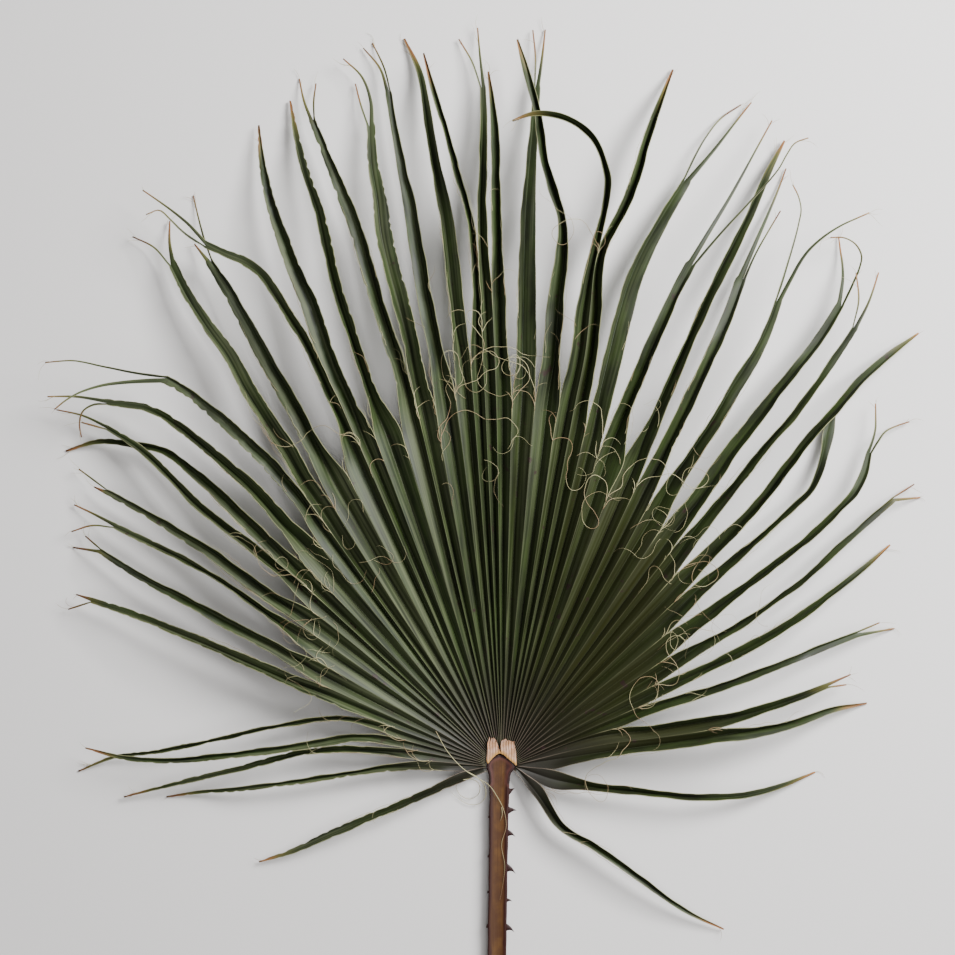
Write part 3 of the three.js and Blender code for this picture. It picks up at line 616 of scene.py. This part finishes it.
def stalkRing(y):
    # flat below, round at the sides, with sharp upper margins and a shallow channel between them
    keel = np.array(stalkBuild["keel"], float)
    low, top, base = (float(np.interp(y, keel[:, 0], keel[:, c])) for c in (1, 2, 3))
    upper = upperHalfWidth(y) if y <= 1.2 else low * 0.9  # the arch ends there, and only the keel goes on
    deep = top - base
    rest = 4.0 if y < 4 else 4.0 * low / 8.8  # half of the flat strip that it lies on
    shoulder = (low + upper) / 2 if upper > low * 0.8 else low * 0.8
    side = [(rest, 0), (rest + 1.2, 0.12), (low * 0.8, deep * 0.22), (low * 0.97, deep * 0.5),
            (shoulder, deep * 0.68), (upper, deep * 0.88), (upper * 0.985, deep * 0.97), (upper * 0.9, deep),
            (upper * 0.62, deep - 0.55), (upper * 0.3, deep - 0.95)]
    points = side + [(0, deep - 1.05)] + [(-x, z) for x, z in reversed(side)]
    count = stalkBuild["columns"]
    ring = closedSmooth(np.array(points, float), count)
    ring[:, 0] *= np.where(ring[:, 0] > 0, 1 + shoulderAt(y) / upper, 1)
    return np.c_[stalkMiddle(y) + ring[:, 0], np.full(count, y), base + np.clip(ring[:, 1], 0, None)]


def thorn(side, rootY, tipY, tipX, length):
    # a flattened horn along a curve from inside the margin to its tip
    rootX = stalkMiddle(rootY) + side * stalkBuild["toothRoot"]
    outX = rootX + side * 2.2
    bendX = (outX + side * tipX) / 2 + side * 0.4
    bendY = rootY * 0.62 + tipY * 0.38 + 0.5
    spine = np.array([[rootX, rootY, 9.9], [outX, rootY, 10.3], [bendX, bendY, 10.8],
                      [side * tipX, tipY, 11.2]])
    marks = measured(spine)
    steps = np.linspace(0, marks[-1], stalkBuild["toothSteps"])
    path = smoothThrough(marks, spine, steps)
    t = steps / marks[-1]
    along = length / 2 * (1 - t) ** 1.15 * (1 + 0.25 * np.exp(-t * 6)) + 0.12
    thick = 1.5 * (1 - t) ** 0.9 + 0.1
    angle = np.linspace(0, 2 * math.pi, stalkBuild["toothSides"], endpoint=False)
    rings = []
    for spot, a, b in zip(path, along, thick):
        rings.append(np.c_[np.full(len(angle), spot[0]), spot[1] + np.cos(angle) * a,
                           np.clip(spot[2] + np.sin(angle) * b, 0.2, 12.2)])
    return rings if side > 0 else [r[::-1] for r in rings]


def loftFaces(rings, columns, first=0):
    # a closed tube through rings of points, which are numbered from first on
    faces = []
    for r in range(rings - 1):
        for c in range(columns):
            a, b = first + r * columns + c, first + r * columns + (c + 1) % columns
            faces.append((a, b, b + columns, a + columns))
    faces.append(tuple(first + c for c in range(columns))[::-1])
    faces.append(tuple(first + (rings - 1) * columns + c for c in range(columns)))
    return faces


def archRim():
    # fine points along the rim of the arch that ends the stalk, seen from above
    rim = []
    for side in (1, -1):
        corners = np.array([(stalkMiddle(y) + side * half + (shoulderAt(y) if side > 0 else 0), y)
                            for y, half in stalkBuild["halfWidths"] if y > -31])
        rim += [np.linspace(a, b, 12) for a, b in zip(corners[:-1], corners[1:])]
    return np.concatenate(rim)


def buildStalk():
    count, sides = stalkBuild["columns"], stalkBuild["toothSides"]
    ys = np.concatenate([np.arange(*stretch) for stretch in stalkBuild["stations"]])
    rings, sideways = [], []
    for y in ys:
        ring = stalkRing(float(y))
        wobble = 0.14 * math.sin(y / 9.0) + 0.1 * math.sin(y / 4.1 + 1)
        ring[:, 0] += wobble * np.abs(ring[:, 0] - stalkMiddle(y)) / 11
        rings.append(ring)
        sideways.append(np.clip(np.abs(ring[:, 0] - stalkMiddle(y)) / 11.2, 0, 1.4))
    points, rim = np.concatenate(rings), archRim()
    rimMm = np.hypot(points[:, 0, None] - rim[None, :, 0], points[:, 1, None] - rim[None, :, 1]).min(axis=1)
    faces = [face[::-1] for face in loftFaces(len(ys), count)]
    values = {"sideways": np.concatenate(sideways), "rimMm": rimMm, "thornAmount": np.zeros(len(points)),
              "endAmount": (points[:, 1] < ys[0] + 0.1).astype(float)}
    for side, rows in ((1, stalkBuild["teethRight"]), (-1, stalkBuild["teethLeft"])):
        for row in rows:
            horn = thorn(side, *row)
            faces += loftFaces(len(horn), sides, len(points))
            points = np.concatenate([points] + horn)
            extra = {"sideways": 1.0, "rimMm": 9.0, "endAmount": 0.0,
                     "thornAmount": np.repeat(np.linspace(0.5, 1, len(horn)), sides)}
            for key, value in extra.items():
                values[key] = np.r_[values[key], np.broadcast_to(value, len(horn) * sides)]
    return makeObject("stalk", points * mm, faces, values)


# Palm stalk: hard tissue under a smooth ripened rind, ochre down the middle and red-brown to the sides. It
# gives the eye a satin gloss, fine lengthwise fibres and nearly black teeth.
stalkLook = {
    "middle": "#422408", "light": "#573812", "side": "#2C0D08", "rim": "#220B09", "fibre": "#3A220F",
    "cut": "#C9AE7C", "cutDots": "#6B4A2A", "arch": "#553029", "shine": 0.32,
    "fibreMm": 0.9, "blotchMm": 16, "dotMm": 1.1, "roughness": 0.42, "ior": 1.48, "reliefMm": 0.4,
}


def stalkMaterial():
    look = stalkLook
    material, tree = newMaterial("satinPalmStalk")
    sideways, rim, horn, end = (addNode(tree, "Attribute", attribute_name=name).outputs["Fac"]
                                for name in ("sideways", "rimMm", "thornAmount", "endAmount"))
    place = addNode(tree, "TexCoord").outputs["Object"]
    fibreScale = (1000 / look["fibreMm"], 14.0, 1000 / look["fibreMm"])
    fibrePlace = addNode(tree, "VectorMath", {0: place, 1: fibreScale}, operation="MULTIPLY")
    fibres = addNode(tree, "TexNoise", {"Vector": fibrePlace, "Scale": 1.0, "Detail": 3.0})
    blotches = addNode(tree, "TexNoise", {"Vector": place, "Scale": 1000 / look["blotchMm"], "Detail": 4.0})
    height = addNode(tree, "SeparateXYZ", {0: place}).outputs["Z"]

    wander = addNode(tree, "Math", {0: blotches, 1: 0.6, 2: -0.3}, operation="MULTIPLY_ADD")
    aside = addNode(tree, "Math", {0: sideways, 1: wander}, operation="ADD")
    # painted shade: the stalk darkens towards the floor, over its lowest few millimetres
    low = addNode(tree, "MapRange", {0: height, 1: 0.002, 2: 0.008, 3: 0.7, 4: 0.0})

    # the cut end shows the dots of the fibre bundles
    dots = addNode(tree, "TexVoronoi", {"Vector": place, "Scale": 1000 / look["dotMm"]}).outputs["Distance"]
    dots = addNode(tree, "MapRange", {0: dots, 1: 0.18, 2: 0.3})
    cut = addNode(tree, "Mix", {0: dots, 6: look["cutDots"], 7: look["cut"]}, **colors)

    # what each colour follows, from, to, and the amounts there
    color = look["middle"]
    for key, row in {"light": (blotches, 0.35, 0.7), "fibre": (fibres, 0.45, 0.7, 0.0, 0.5),
                     "side": (aside, 0.42, 0.78), "arch": (rim, 3.2, 7.5, 0.7, 0.0),
                     "rim": (rim, 2.0, 4.2, 0.95, 0.0)}.items():
        amount = addNode(tree, "MapRange", dict(enumerate(row)), **gentle)
        color = addNode(tree, "Mix", {0: amount, 6: color, 7: look[key]}, **colors)
    # the first mix here lays that painted shade near the floor
    for amount, shade in ((low, look["fibre"]), (horn, look["rim"]), (end, cut)):
        color = addNode(tree, "Mix", {0: amount, 6: color, 7: shade}, **colors)

    rough = addNode(tree, "MapRange", {0: fibres, 1: 0.3, 2: 0.75, 3: look["roughness"] - 0.06,
                                       4: look["roughness"] + 0.14})
    relief = addNode(tree, "Math", {0: blotches, 1: 0.6, 2: fibres}, operation="MULTIPLY_ADD")
    bump = addNode(tree, "Bump", {"Height": relief, "Strength": 0.4, "Distance": look["reliefMm"] * mm})
    surface = addNode(tree, "BsdfPrincipled", {"Base Color": color, "Roughness": rough, "IOR": look["ior"],
                                               "Specular IOR Level": look["shine"], "Normal": bump})
    addNode(tree, "OutputMaterial", {"Surface": surface})
    return material


finishPiece(buildStalk(), stalkMaterial(), ["petiole"])
print("stalk built with its teeth")


collarBuild = {
    # x, lower edge y, upper edge y
    "edges": [(-15.6, -8.0, 4.0), (-14.6, -9.2, 14.6), (-12.9, -7.8, 21.2), (-11.7, -6.2, 15.6),
              (-10.2, -4.6, 19.6), (-8.2, -2.4, 20.4), (-5.8, 0.0, 17.4), (-3.6, 1.5, 13.6), (-2.2, 2.2, 8.6),
              (-1.4, 2.5, 4.4), (-0.7, 2.4, 4.2), (-0.2, 2.1, 8.8), (0.9, 1.5, 17.6), (3.0, 0.6, 17.8),
              (5.0, -0.8, 19.0), (7.4, -2.9, 16.4), (9.8, -5.0, 17.0), (12.4, -7.2, 15.6), (14.6, -9.4, 16.2),
              (16.2, -11.0, 8.0), (17.9, -10.8, -6.4)],
    "step": 0.28, "rows": 30,
    "frayed": 0.35,  # how unevenly the upper edge is torn, where the flap is over 6 mm high
    "height": 13.9, "rise": 0.11, "skin": 0.45, "fold": 0.35,
}


def buildCollar():
    look = collarBuild
    rng = np.random.default_rng(21)
    edgeX, lowY, highY = np.array(look["edges"]).T
    xs = np.arange(edgeX[0], edgeX[-1] + 0.01, look["step"])
    low, high = np.interp(xs, edgeX, lowY), np.interp(xs, edgeX, highY)
    high = high + rng.normal(0, look["frayed"], len(xs)) * (high - low > 6)
    t = np.linspace(0, 1, look["rows"])[:, None]  # from the root to the torn edge
    y = low + (high - low) * t
    x = np.broadcast_to(xs, y.shape) + 0.25 * np.sin(y / 2.6)
    fold = look["fold"] * (np.sin(xs * 2.1) + 0.6 * np.sin(xs * 4.7 + 1.0)) * (0.3 + t)
    z = look["height"] + look["rise"] * np.clip(y, 0, None) + fold + 0.02 * np.clip(y - 12, 0, None) ** 2
    z = z - 0.5 * np.exp(-((y - low) / 1.6) ** 2)
    grid = np.stack([x, y, z], axis=2)
    normals = gridNormals(grid)
    normals *= np.sign(normals[..., 2:3])
    bottom = grid - normals * look["skin"]
    topIds = np.arange(x.size).reshape(x.shape)
    bottomIds = topIds + topIds.size
    faces = gridFaces(topIds, bottomIds)
    faces += capFaces(topIds[0], bottomIds[0], True) + capFaces(topIds[-1], bottomIds[-1], False)
    points = np.concatenate([grid.reshape(-1, 3), bottom.reshape(-1, 3)])
    values = {"tearMm": (high - low) * (1 - t), "rootMm": (high - low) * t, "acrossMm": x}
    values = {key: np.tile(value.ravel(), 2) for key, value in values.items()}
    return makeObject("collarFlap", points * mm, faces, values)


# Collar flap: bract tissue dried thin as paper and torn along its fibres. It gives the eye a matt pinkish
# beige with fibre lines, honey yellow along its root and browner torn edges.
collarLook = {
    "pale": "#C29F88", "warm": "#A87A4E", "honey": "#B78947", "brown": "#7A4E34", "streak": "#8E6450",
    "fibreMm": 0.6, "cloudMm": 6, "roughness": 0.8, "reliefMm": 0.5,
}


def collarMaterial():
    look = collarLook
    material, tree = newMaterial("dryPaperyFlap")
    across, root, tear = (addNode(tree, "Attribute", attribute_name=name).outputs["Fac"]
                          for name in ("acrossMm", "rootMm", "tearMm"))
    place = addNode(tree, "TexCoord").outputs["Object"]
    fibreX = addNode(tree, "Math", {0: across, 1: 1 / look["fibreMm"]}, operation="MULTIPLY")
    fibreY = addNode(tree, "Math", {0: root, 1: 0.06}, operation="MULTIPLY")
    fibrePlace = addNode(tree, "CombineXYZ", {0: fibreX, 1: fibreY, 2: 3.0})
    fibres = addNode(tree, "TexNoise", {"Vector": fibrePlace, "Scale": 1.0, "Detail": 3.0})
    cloud = addNode(tree, "TexNoise", {"Vector": place, "Scale": 1000 / look["cloudMm"], "Detail": 3.0})

    wander = addNode(tree, "Math", {0: cloud, 1: 6.0, 2: -3.0}, operation="MULTIPLY_ADD")
    atRoot = addNode(tree, "Math", {0: wander, 1: root}, operation="ADD")
    color = look["pale"]
    for key, row in {"warm": (cloud, 0.35, 0.65, 0.0, 0.75), "streak": (fibres, 0.48, 0.75, 0.0, 0.4),
                     "honey": (atRoot, 1.5, 6.0, 0.9, 0.0), "brown": (tear, 0.0, 1.4, 0.6, 0.0)}.items():
        amount = addNode(tree, "MapRange", dict(enumerate(row)), **gentle)
        color = addNode(tree, "Mix", {0: amount, 6: color, 7: look[key]}, **colors)
    bump = addNode(tree, "Bump", {"Height": fibres, "Strength": 0.6, "Distance": look["reliefMm"] * mm})
    surface = addNode(tree, "BsdfPrincipled",
                      {"Base Color": color, "Roughness": look["roughness"], "Normal": bump})
    addNode(tree, "OutputMaterial", {"Surface": surface})
    return material


finishPiece(buildCollar(), collarMaterial(), ["hastula"])
print("collar flap built")


# The seams let go of loose fibres: short arcs and hairs where each seam opens, long curls at some, crisscross
# strands in a few places, and four threads at the stalk.
threadBuild = {
    "sides": 5, "step": 2.0, "clearance": 0.5, "sag": 0.35,
    "radius": {"seam": 0.3, "margin": 0.2, "tangle": 0.17, "hair": 0.15, "tip": 0.2, "stalk": 0.4},
    # length in mm, radians per mm, how many arcs, and how often the next arc bends the other way
    "short": {"length": (14, 40), "turn": (0.03, 0.1), "arcs": 2, "turnsBack": 0},
    "long": {"length": (80, 200), "turn": (0.02, 0.1), "arcs": 5, "turnsBack": 0.35},
    "hair": {"length": (5, 15), "turn": (0.0, 0.07), "arcs": 2, "turnsBack": 0},
    "tip": {"length": (9, 28), "turn": (0.01, 0.07), "arcs": 2, "turnsBack": 0},
    "tangle": {"length": (22, 85), "turn": (0.015, 0.11), "arcs": 5, "turnsBack": 0.35},
    "wander": 0.06,  # radians per mm
    "bareHub": 60,  # seams that let go nearer than this to the hub have no threads
    "longShare": 0.14,
    "curlyBand": (150, 0.62),  # how far to each side of the middle long curls are common, and how common
    "tangles": [(-205, 128, 62, 15), (-165, 215, 50, 7), (196, 262, 48, 9), (222, 150, 66, 10),
                (-20, 330, 90, 6), (110, 370, 60, 5)],  # x, y, how far they spread and how many
    "atStalk": [
        [(-72, 30, 40), (-60, 8, 34), (-38, -16, 27), (-24, -25, 21), (-13, -33, 16.5), (-4, -46, 13.6),
         (3, -60, 12.4), (6, -79, 12.2), (1, -99, 12.2), (4.5, -124, 12.3), (2, -146, 12.2),
         (-1, -162, 12.6)],
        [(-38, -16, 27), (-27, -23, 20), (-18, -34, 14), (-17, -46, 9), (-24, -55, 4), (-36, -56, 2.5),
         (-47, -50, 2), (-58, -40, 2)],
        [(-42, -26, 22), (-32, -26, 17), (-24, -33, 11), (-25, -44, 6), (-34, -50, 3), (-45, -46, 2),
         (-50, -36, 2), (-45, -27, 3)],
        [(1, -58, 12.6), (1.6, -66, 12.3), (-1, -75, 12.4)]],
}


def tubeRings(path, radius, sides):
    # tapering rings of points round a path, with the frame carried along so that it never twists
    ways = np.gradient(path, axis=0)
    ways /= np.maximum(np.linalg.norm(ways, axis=1, keepdims=True), 1e-9)
    side = np.cross(ways[0], [0.0, 0.0, 1.0])
    angle = np.linspace(0, 2 * math.pi, sides, endpoint=False)[:, None]
    rings = []
    for k, way in enumerate(ways):
        side = side - way * (side @ way)
        side /= np.linalg.norm(side)
        size = radius * (1 - 0.75 * (k / (len(path) - 1)) ** 3)
        rings.append(path[k] + size * (np.cos(angle) * side + np.sin(angle) * np.cross(way, side)))
    return rings


def threadsObject(name, paths, radius):
    points, faces, along = [], [], []
    count, sides = 0, threadBuild["sides"]
    for path in paths:
        rings = tubeRings(np.asarray(path, float), radius, sides)
        faces += loftFaces(len(rings), sides, count)
        points += rings
        along.append(np.repeat(measured(np.asarray(path)), sides))
        count += len(rings) * sides
    return makeObject(name, np.concatenate(points) * mm, faces, {"alongMm": np.concatenate(along)})


def curl(rng, start, heading, kind, side=0):
    # a thread from start that begins nearly straight and then wanders in arcs of changing tightness
    look = threadBuild[kind]
    step = threadBuild["step"]
    steps = max(4, int(rng.uniform(*look["length"]) / step))
    side = side or rng.choice([-1, 1])
    turns = [0.1 * side * look["turn"][1]]
    for _ in range(look["arcs"]):
        turns.append(side * rng.uniform(*look["turn"]))
        if look["turnsBack"] and rng.uniform() < look["turnsBack"]:
            side = -side
    turning = np.interp(np.linspace(0, 1, steps), np.linspace(0, 1, len(turns)), turns)
    kinks = rng.normal(0, threadBuild["wander"], steps // 3 + 2)
    turning = turning + np.interp(np.arange(steps) / 3, np.arange(len(kinks)), kinks)
    headings = heading + np.cumsum(turning) * step
    ways = np.stack([np.cos(headings), np.sin(headings), np.zeros(steps)], axis=1)
    return np.array(start) + np.vstack([np.zeros(3), np.cumsum(ways[:-1], axis=0)]) * step


def leafTree():
    # the surface that threads are laid on
    points, faces = [], []
    for thing in bpy.data.objects:
        if thing.type == "MESH" and thing.name.split("_")[0] in ("blade", "stalk", "collarFlap"):
            base = len(points)
            points += [v.co[:] for v in thing.data.vertices]
            faces += [tuple(base + i for i in p.vertices) for p in thing.data.polygons]
    return BVHTree.FromPolygons(points, faces)


def layOnLeaf(path, tree):
    # the thread rests on what is under it, bridges gaps and sinks where it runs out over the floor
    look = threadBuild
    n = len(path)
    heights = np.full(n, np.nan)
    for k, (x, y, _) in enumerate(path):
        hit = tree.ray_cast((x * mm, y * mm, 0.2), (0, 0, -1))[0]
        if hit is not None:
            heights[k] = hit.z / mm
    known = np.flatnonzero(~np.isnan(heights))
    if len(known) == 0:
        return path
    filled = np.interp(np.arange(n), known, heights[known])
    step = np.linalg.norm(path[1] - path[0])
    late = np.arange(n) > known[-1]
    filled[late] -= look["sag"] * step * (np.arange(n)[late] - known[-1])
    padded = np.pad(filled, 4, mode="edge")
    envelope = np.max([padded[i:i + n] for i in range(2, 7)], axis=0)
    padded = np.pad(envelope, 4, mode="edge")
    soft = np.mean([padded[i:i + n] for i in range(0, 9)], axis=0)
    soft = np.maximum(soft, np.where(np.isnan(heights), -1, heights))
    lifted = path.copy()
    lifted[:, 2] = np.maximum(soft + look["clearance"], 0.7)
    return lifted


def outwardFrom(spot):
    return math.atan2(spot[1], spot[0])


def sinusThreads(rng, tree):
    # where a seam lets go: short arcs forward over the neighbours, hairs, and long curls at some
    look = threadBuild
    arcs, hairs = [], []
    for spot in joinEnds:
        start = np.array(spot) / mm
        if np.hypot(start[0], start[1]) < look["bareHub"]:
            continue
        outward = outwardFrom(start)
        out = np.array([math.cos(outward), math.sin(outward), 0])
        for _ in range(rng.integers(1, 3)):
            back = start - out * rng.uniform(0, 9)
            arcs.append(layOnLeaf(curl(rng, back, outward + rng.normal(0, 0.3), "short"), tree))
        curly = abs(start[0]) < look["curlyBand"][0] and start[1] > 200
        share = look["curlyBand"][1] if curly else look["longShare"]
        while rng.uniform() < share:
            arcs.append(layOnLeaf(curl(rng, start, outward + rng.normal(0, 0.5), "long"), tree))
            share *= 0.4
        for _ in range(rng.integers(1, 4)):
            back = start - out * rng.uniform(-6, 12)
            hairs.append(layOnLeaf(curl(rng, back, outward + rng.normal(0, 0.25), "hair"), tree))
    return arcs, hairs


def tangleThreads(rng, tree):
    # fine fibres lying crisscross in a few places
    strands = []
    for x, y, spread, count in threadBuild["tangles"]:
        for _ in range(count):
            start = np.array([*(rng.normal((x, y), spread / 2)), 0.0])
            strands.append(layOnLeaf(curl(rng, start, rng.uniform(0, 2 * math.pi), "tangle"), tree))
    return strands


def freeMargin(name, column):
    # the points of a margin past its seam, in millimetres and one thread step apart
    main, _, joined = rails[name]
    step = threadBuild["step"]
    line = fineLine(main[:, column], step * mm) / mm
    lastJoined = max(int(joined[:, column // 2].sum()) - 1, 0)
    return line[int(measured(main[:, column])[lastJoined] / mm / step):]


def besideMargin(rng, free, side):
    # a fibre that has come off along the margin and bows a little away from it
    a = rng.integers(0, max(1, len(free) // 2))
    b = min(len(free) - 2, a + rng.integers(14, 50))
    run = free[a:b].copy()
    ways = np.gradient(run, axis=0)[:, :2]
    ways /= np.linalg.norm(ways, axis=1, keepdims=True)
    t = np.linspace(0, 1, len(run))
    bow = rng.uniform(0.5, 4) * np.sin(math.pi * t) + rng.uniform(0.2, 0.9) * np.sin(t * rng.uniform(12, 30))
    run[:, :2] += np.c_[-ways[:, 1], ways[:, 0]] * side * bow[:, None]
    return run


def marginThreads(rng, tree):
    strands = []
    for name in segmentNames:
        for column, side in ((0, 1), (2, -1)):
            free = freeMargin(name, column)
            if len(free) < 30:
                continue
            for _ in range(rng.integers(0, 3)):
                strands.append(layOnLeaf(besideMargin(rng, free, side), tree))
            for _ in range(rng.integers(0, 3)):
                k = rng.integers(1, min(len(free) - 2, 60))
                way = outwardFrom(free[k + 1] - free[k])
                strands.append(layOnLeaf(curl(rng, free[k], way + rng.normal(0, 0.3), "short", -side), tree))
    return strands


def tipHairs(rng):
    # each tip ends in one or two hairs that stand off a little
    hairs = []
    for name in segmentNames:
        main, branches, _ = rails[name]
        for rings in branches or [main]:
            tip, before = rings[-1].mean(0) / mm, rings[-2].mean(0) / mm
            for _ in range(rng.integers(1, 4)):
                start = tip - (tip - before) * rng.uniform(0.1, 0.6)
                path = curl(rng, start, outwardFrom(tip - before) + rng.normal(0, 0.3), "tip")
                path[:, 2] = tip[2] + rng.uniform(-0.1, 0.25) * np.arange(len(path))
                path[:, 2] = np.maximum(path[:, 2], 0.7)
                hairs.append(path)
    return hairs


def stalkThreads():
    paths = []
    for rows in threadBuild["atStalk"]:
        rows = np.array(rows, float)
        marks = measured(rows)
        paths.append(smoothThrough(marks, rows, np.arange(0, marks[-1], threadBuild["step"])))
    return paths


# Loose thread: a fibre that peeled off a seam and dried. It gives the eye a thin cream to tan line with a
# little silky gloss.
threadLook = {"pale": "#ABA57D", "warm": "#8F7657", "cloudMm": 45, "grainMm": 0.6, "roughness": 0.5}


def threadMaterial():
    look = threadLook
    material, tree = newMaterial("dryPalmFibre")
    place = addNode(tree, "TexCoord").outputs["Object"]
    cloud = addNode(tree, "TexNoise", {"Vector": place, "Scale": 1000 / look["cloudMm"], "Detail": 2.0})
    warmth = addNode(tree, "MapRange", {0: cloud.outputs["Fac"], 1: 0.42, 2: 0.66}, **gentle)
    color = addNode(tree, "Mix", {0: warmth, 6: look["pale"], 7: look["warm"]}, **colors)
    grain = addNode(tree, "TexNoise", {"Vector": place, "Scale": 1000 / look["grainMm"], "Detail": 1.0})
    bump = addNode(tree, "Bump", {"Height": grain.outputs["Fac"], "Strength": 0.3, "Distance": 0.3 * mm})
    surface = addNode(tree, "BsdfPrincipled",
                      {"Base Color": color, "Roughness": look["roughness"], "Normal": bump})
    addNode(tree, "OutputMaterial", {"Surface": surface})
    return material


fibre = threadMaterial()
threadRng, leafSurface = np.random.default_rng(44), leafTree()
seamPaths, hairPaths = sinusThreads(threadRng, leafSurface)
marginPaths = marginThreads(threadRng, leafSurface)
tanglePaths = tangleThreads(threadRng, leafSurface)
tipPaths = tipHairs(threadRng)
threadSets = {"seamThreads": ("seam", seamPaths), "sinusHairs": ("hair", hairPaths),
              "marginThreads": ("margin", marginPaths), "tangleThreads": ("tangle", tanglePaths),
              "tipHairs": ("tip", tipPaths), "stalkThreads": ("stalk", stalkThreads())}
for name, (size, paths) in threadSets.items():
    finishPiece(threadsObject(name, paths, threadBuild["radius"][size]), fibre, [])
print("threads built:", ", ".join(f"{len(paths)} {name}" for name, (_, paths) in threadSets.items()))


roomLook = {
    "reach": 4.0,
    "floor": "#DEDCDB", "sky": "#EAE6E4", "skyStrength": 0.23,
    "keyFrom": (1.7, 1.5, 1.75), "keySize": 1.3, "keyPower": 197,
    "fillFrom": (0.9, -0.3, 3.3), "fillSize": 2.6, "fillPower": 60,
}


def bringLight(name, place, power, size, target):
    data = bpy.data.lights.new(name, "AREA")
    data.energy, data.size = power, size
    light = bpy.data.objects.new(name, data)
    light.location = place
    aim = np.array(target) - np.array(place)
    light.rotation_euler = Vector(aim).to_track_quat("-Z", "Y").to_euler()
    bpy.context.scene.collection.objects.link(light)


def buildRoom():
    look = roomLook
    far, z = look["reach"], -0.3 * mm  # just under the leaf
    corners = [(-far, -far, z), (far, -far, z), (far, far, z), (-far, far, z)]
    floor = makeObject("floor", corners, [(0, 1, 2, 3)])
    material, tree = newMaterial("mattPaintedBoard")
    surface = addNode(tree, "BsdfPrincipled", {"Base Color": look["floor"], "Roughness": 0.85})
    addNode(tree, "OutputMaterial", {"Surface": surface})
    floor.data.materials.append(material)
    target = (*cameraSetup["lookAt"], 0)
    bringLight("keyLight", look["keyFrom"], look["keyPower"], look["keySize"], target)
    bringLight("fillLight", look["fillFrom"], look["fillPower"], look["fillSize"], target)
    world = bpy.data.worlds.new("world")
    world.use_nodes = True
    background = world.node_tree.nodes["Background"]
    background.inputs["Color"].default_value = linearColor(look["sky"])
    background.inputs["Strength"].default_value = look["skyStrength"]
    bpy.context.scene.world = world


buildRoom()
print("floor and lights placed")

bpy.context.view_layer.update()
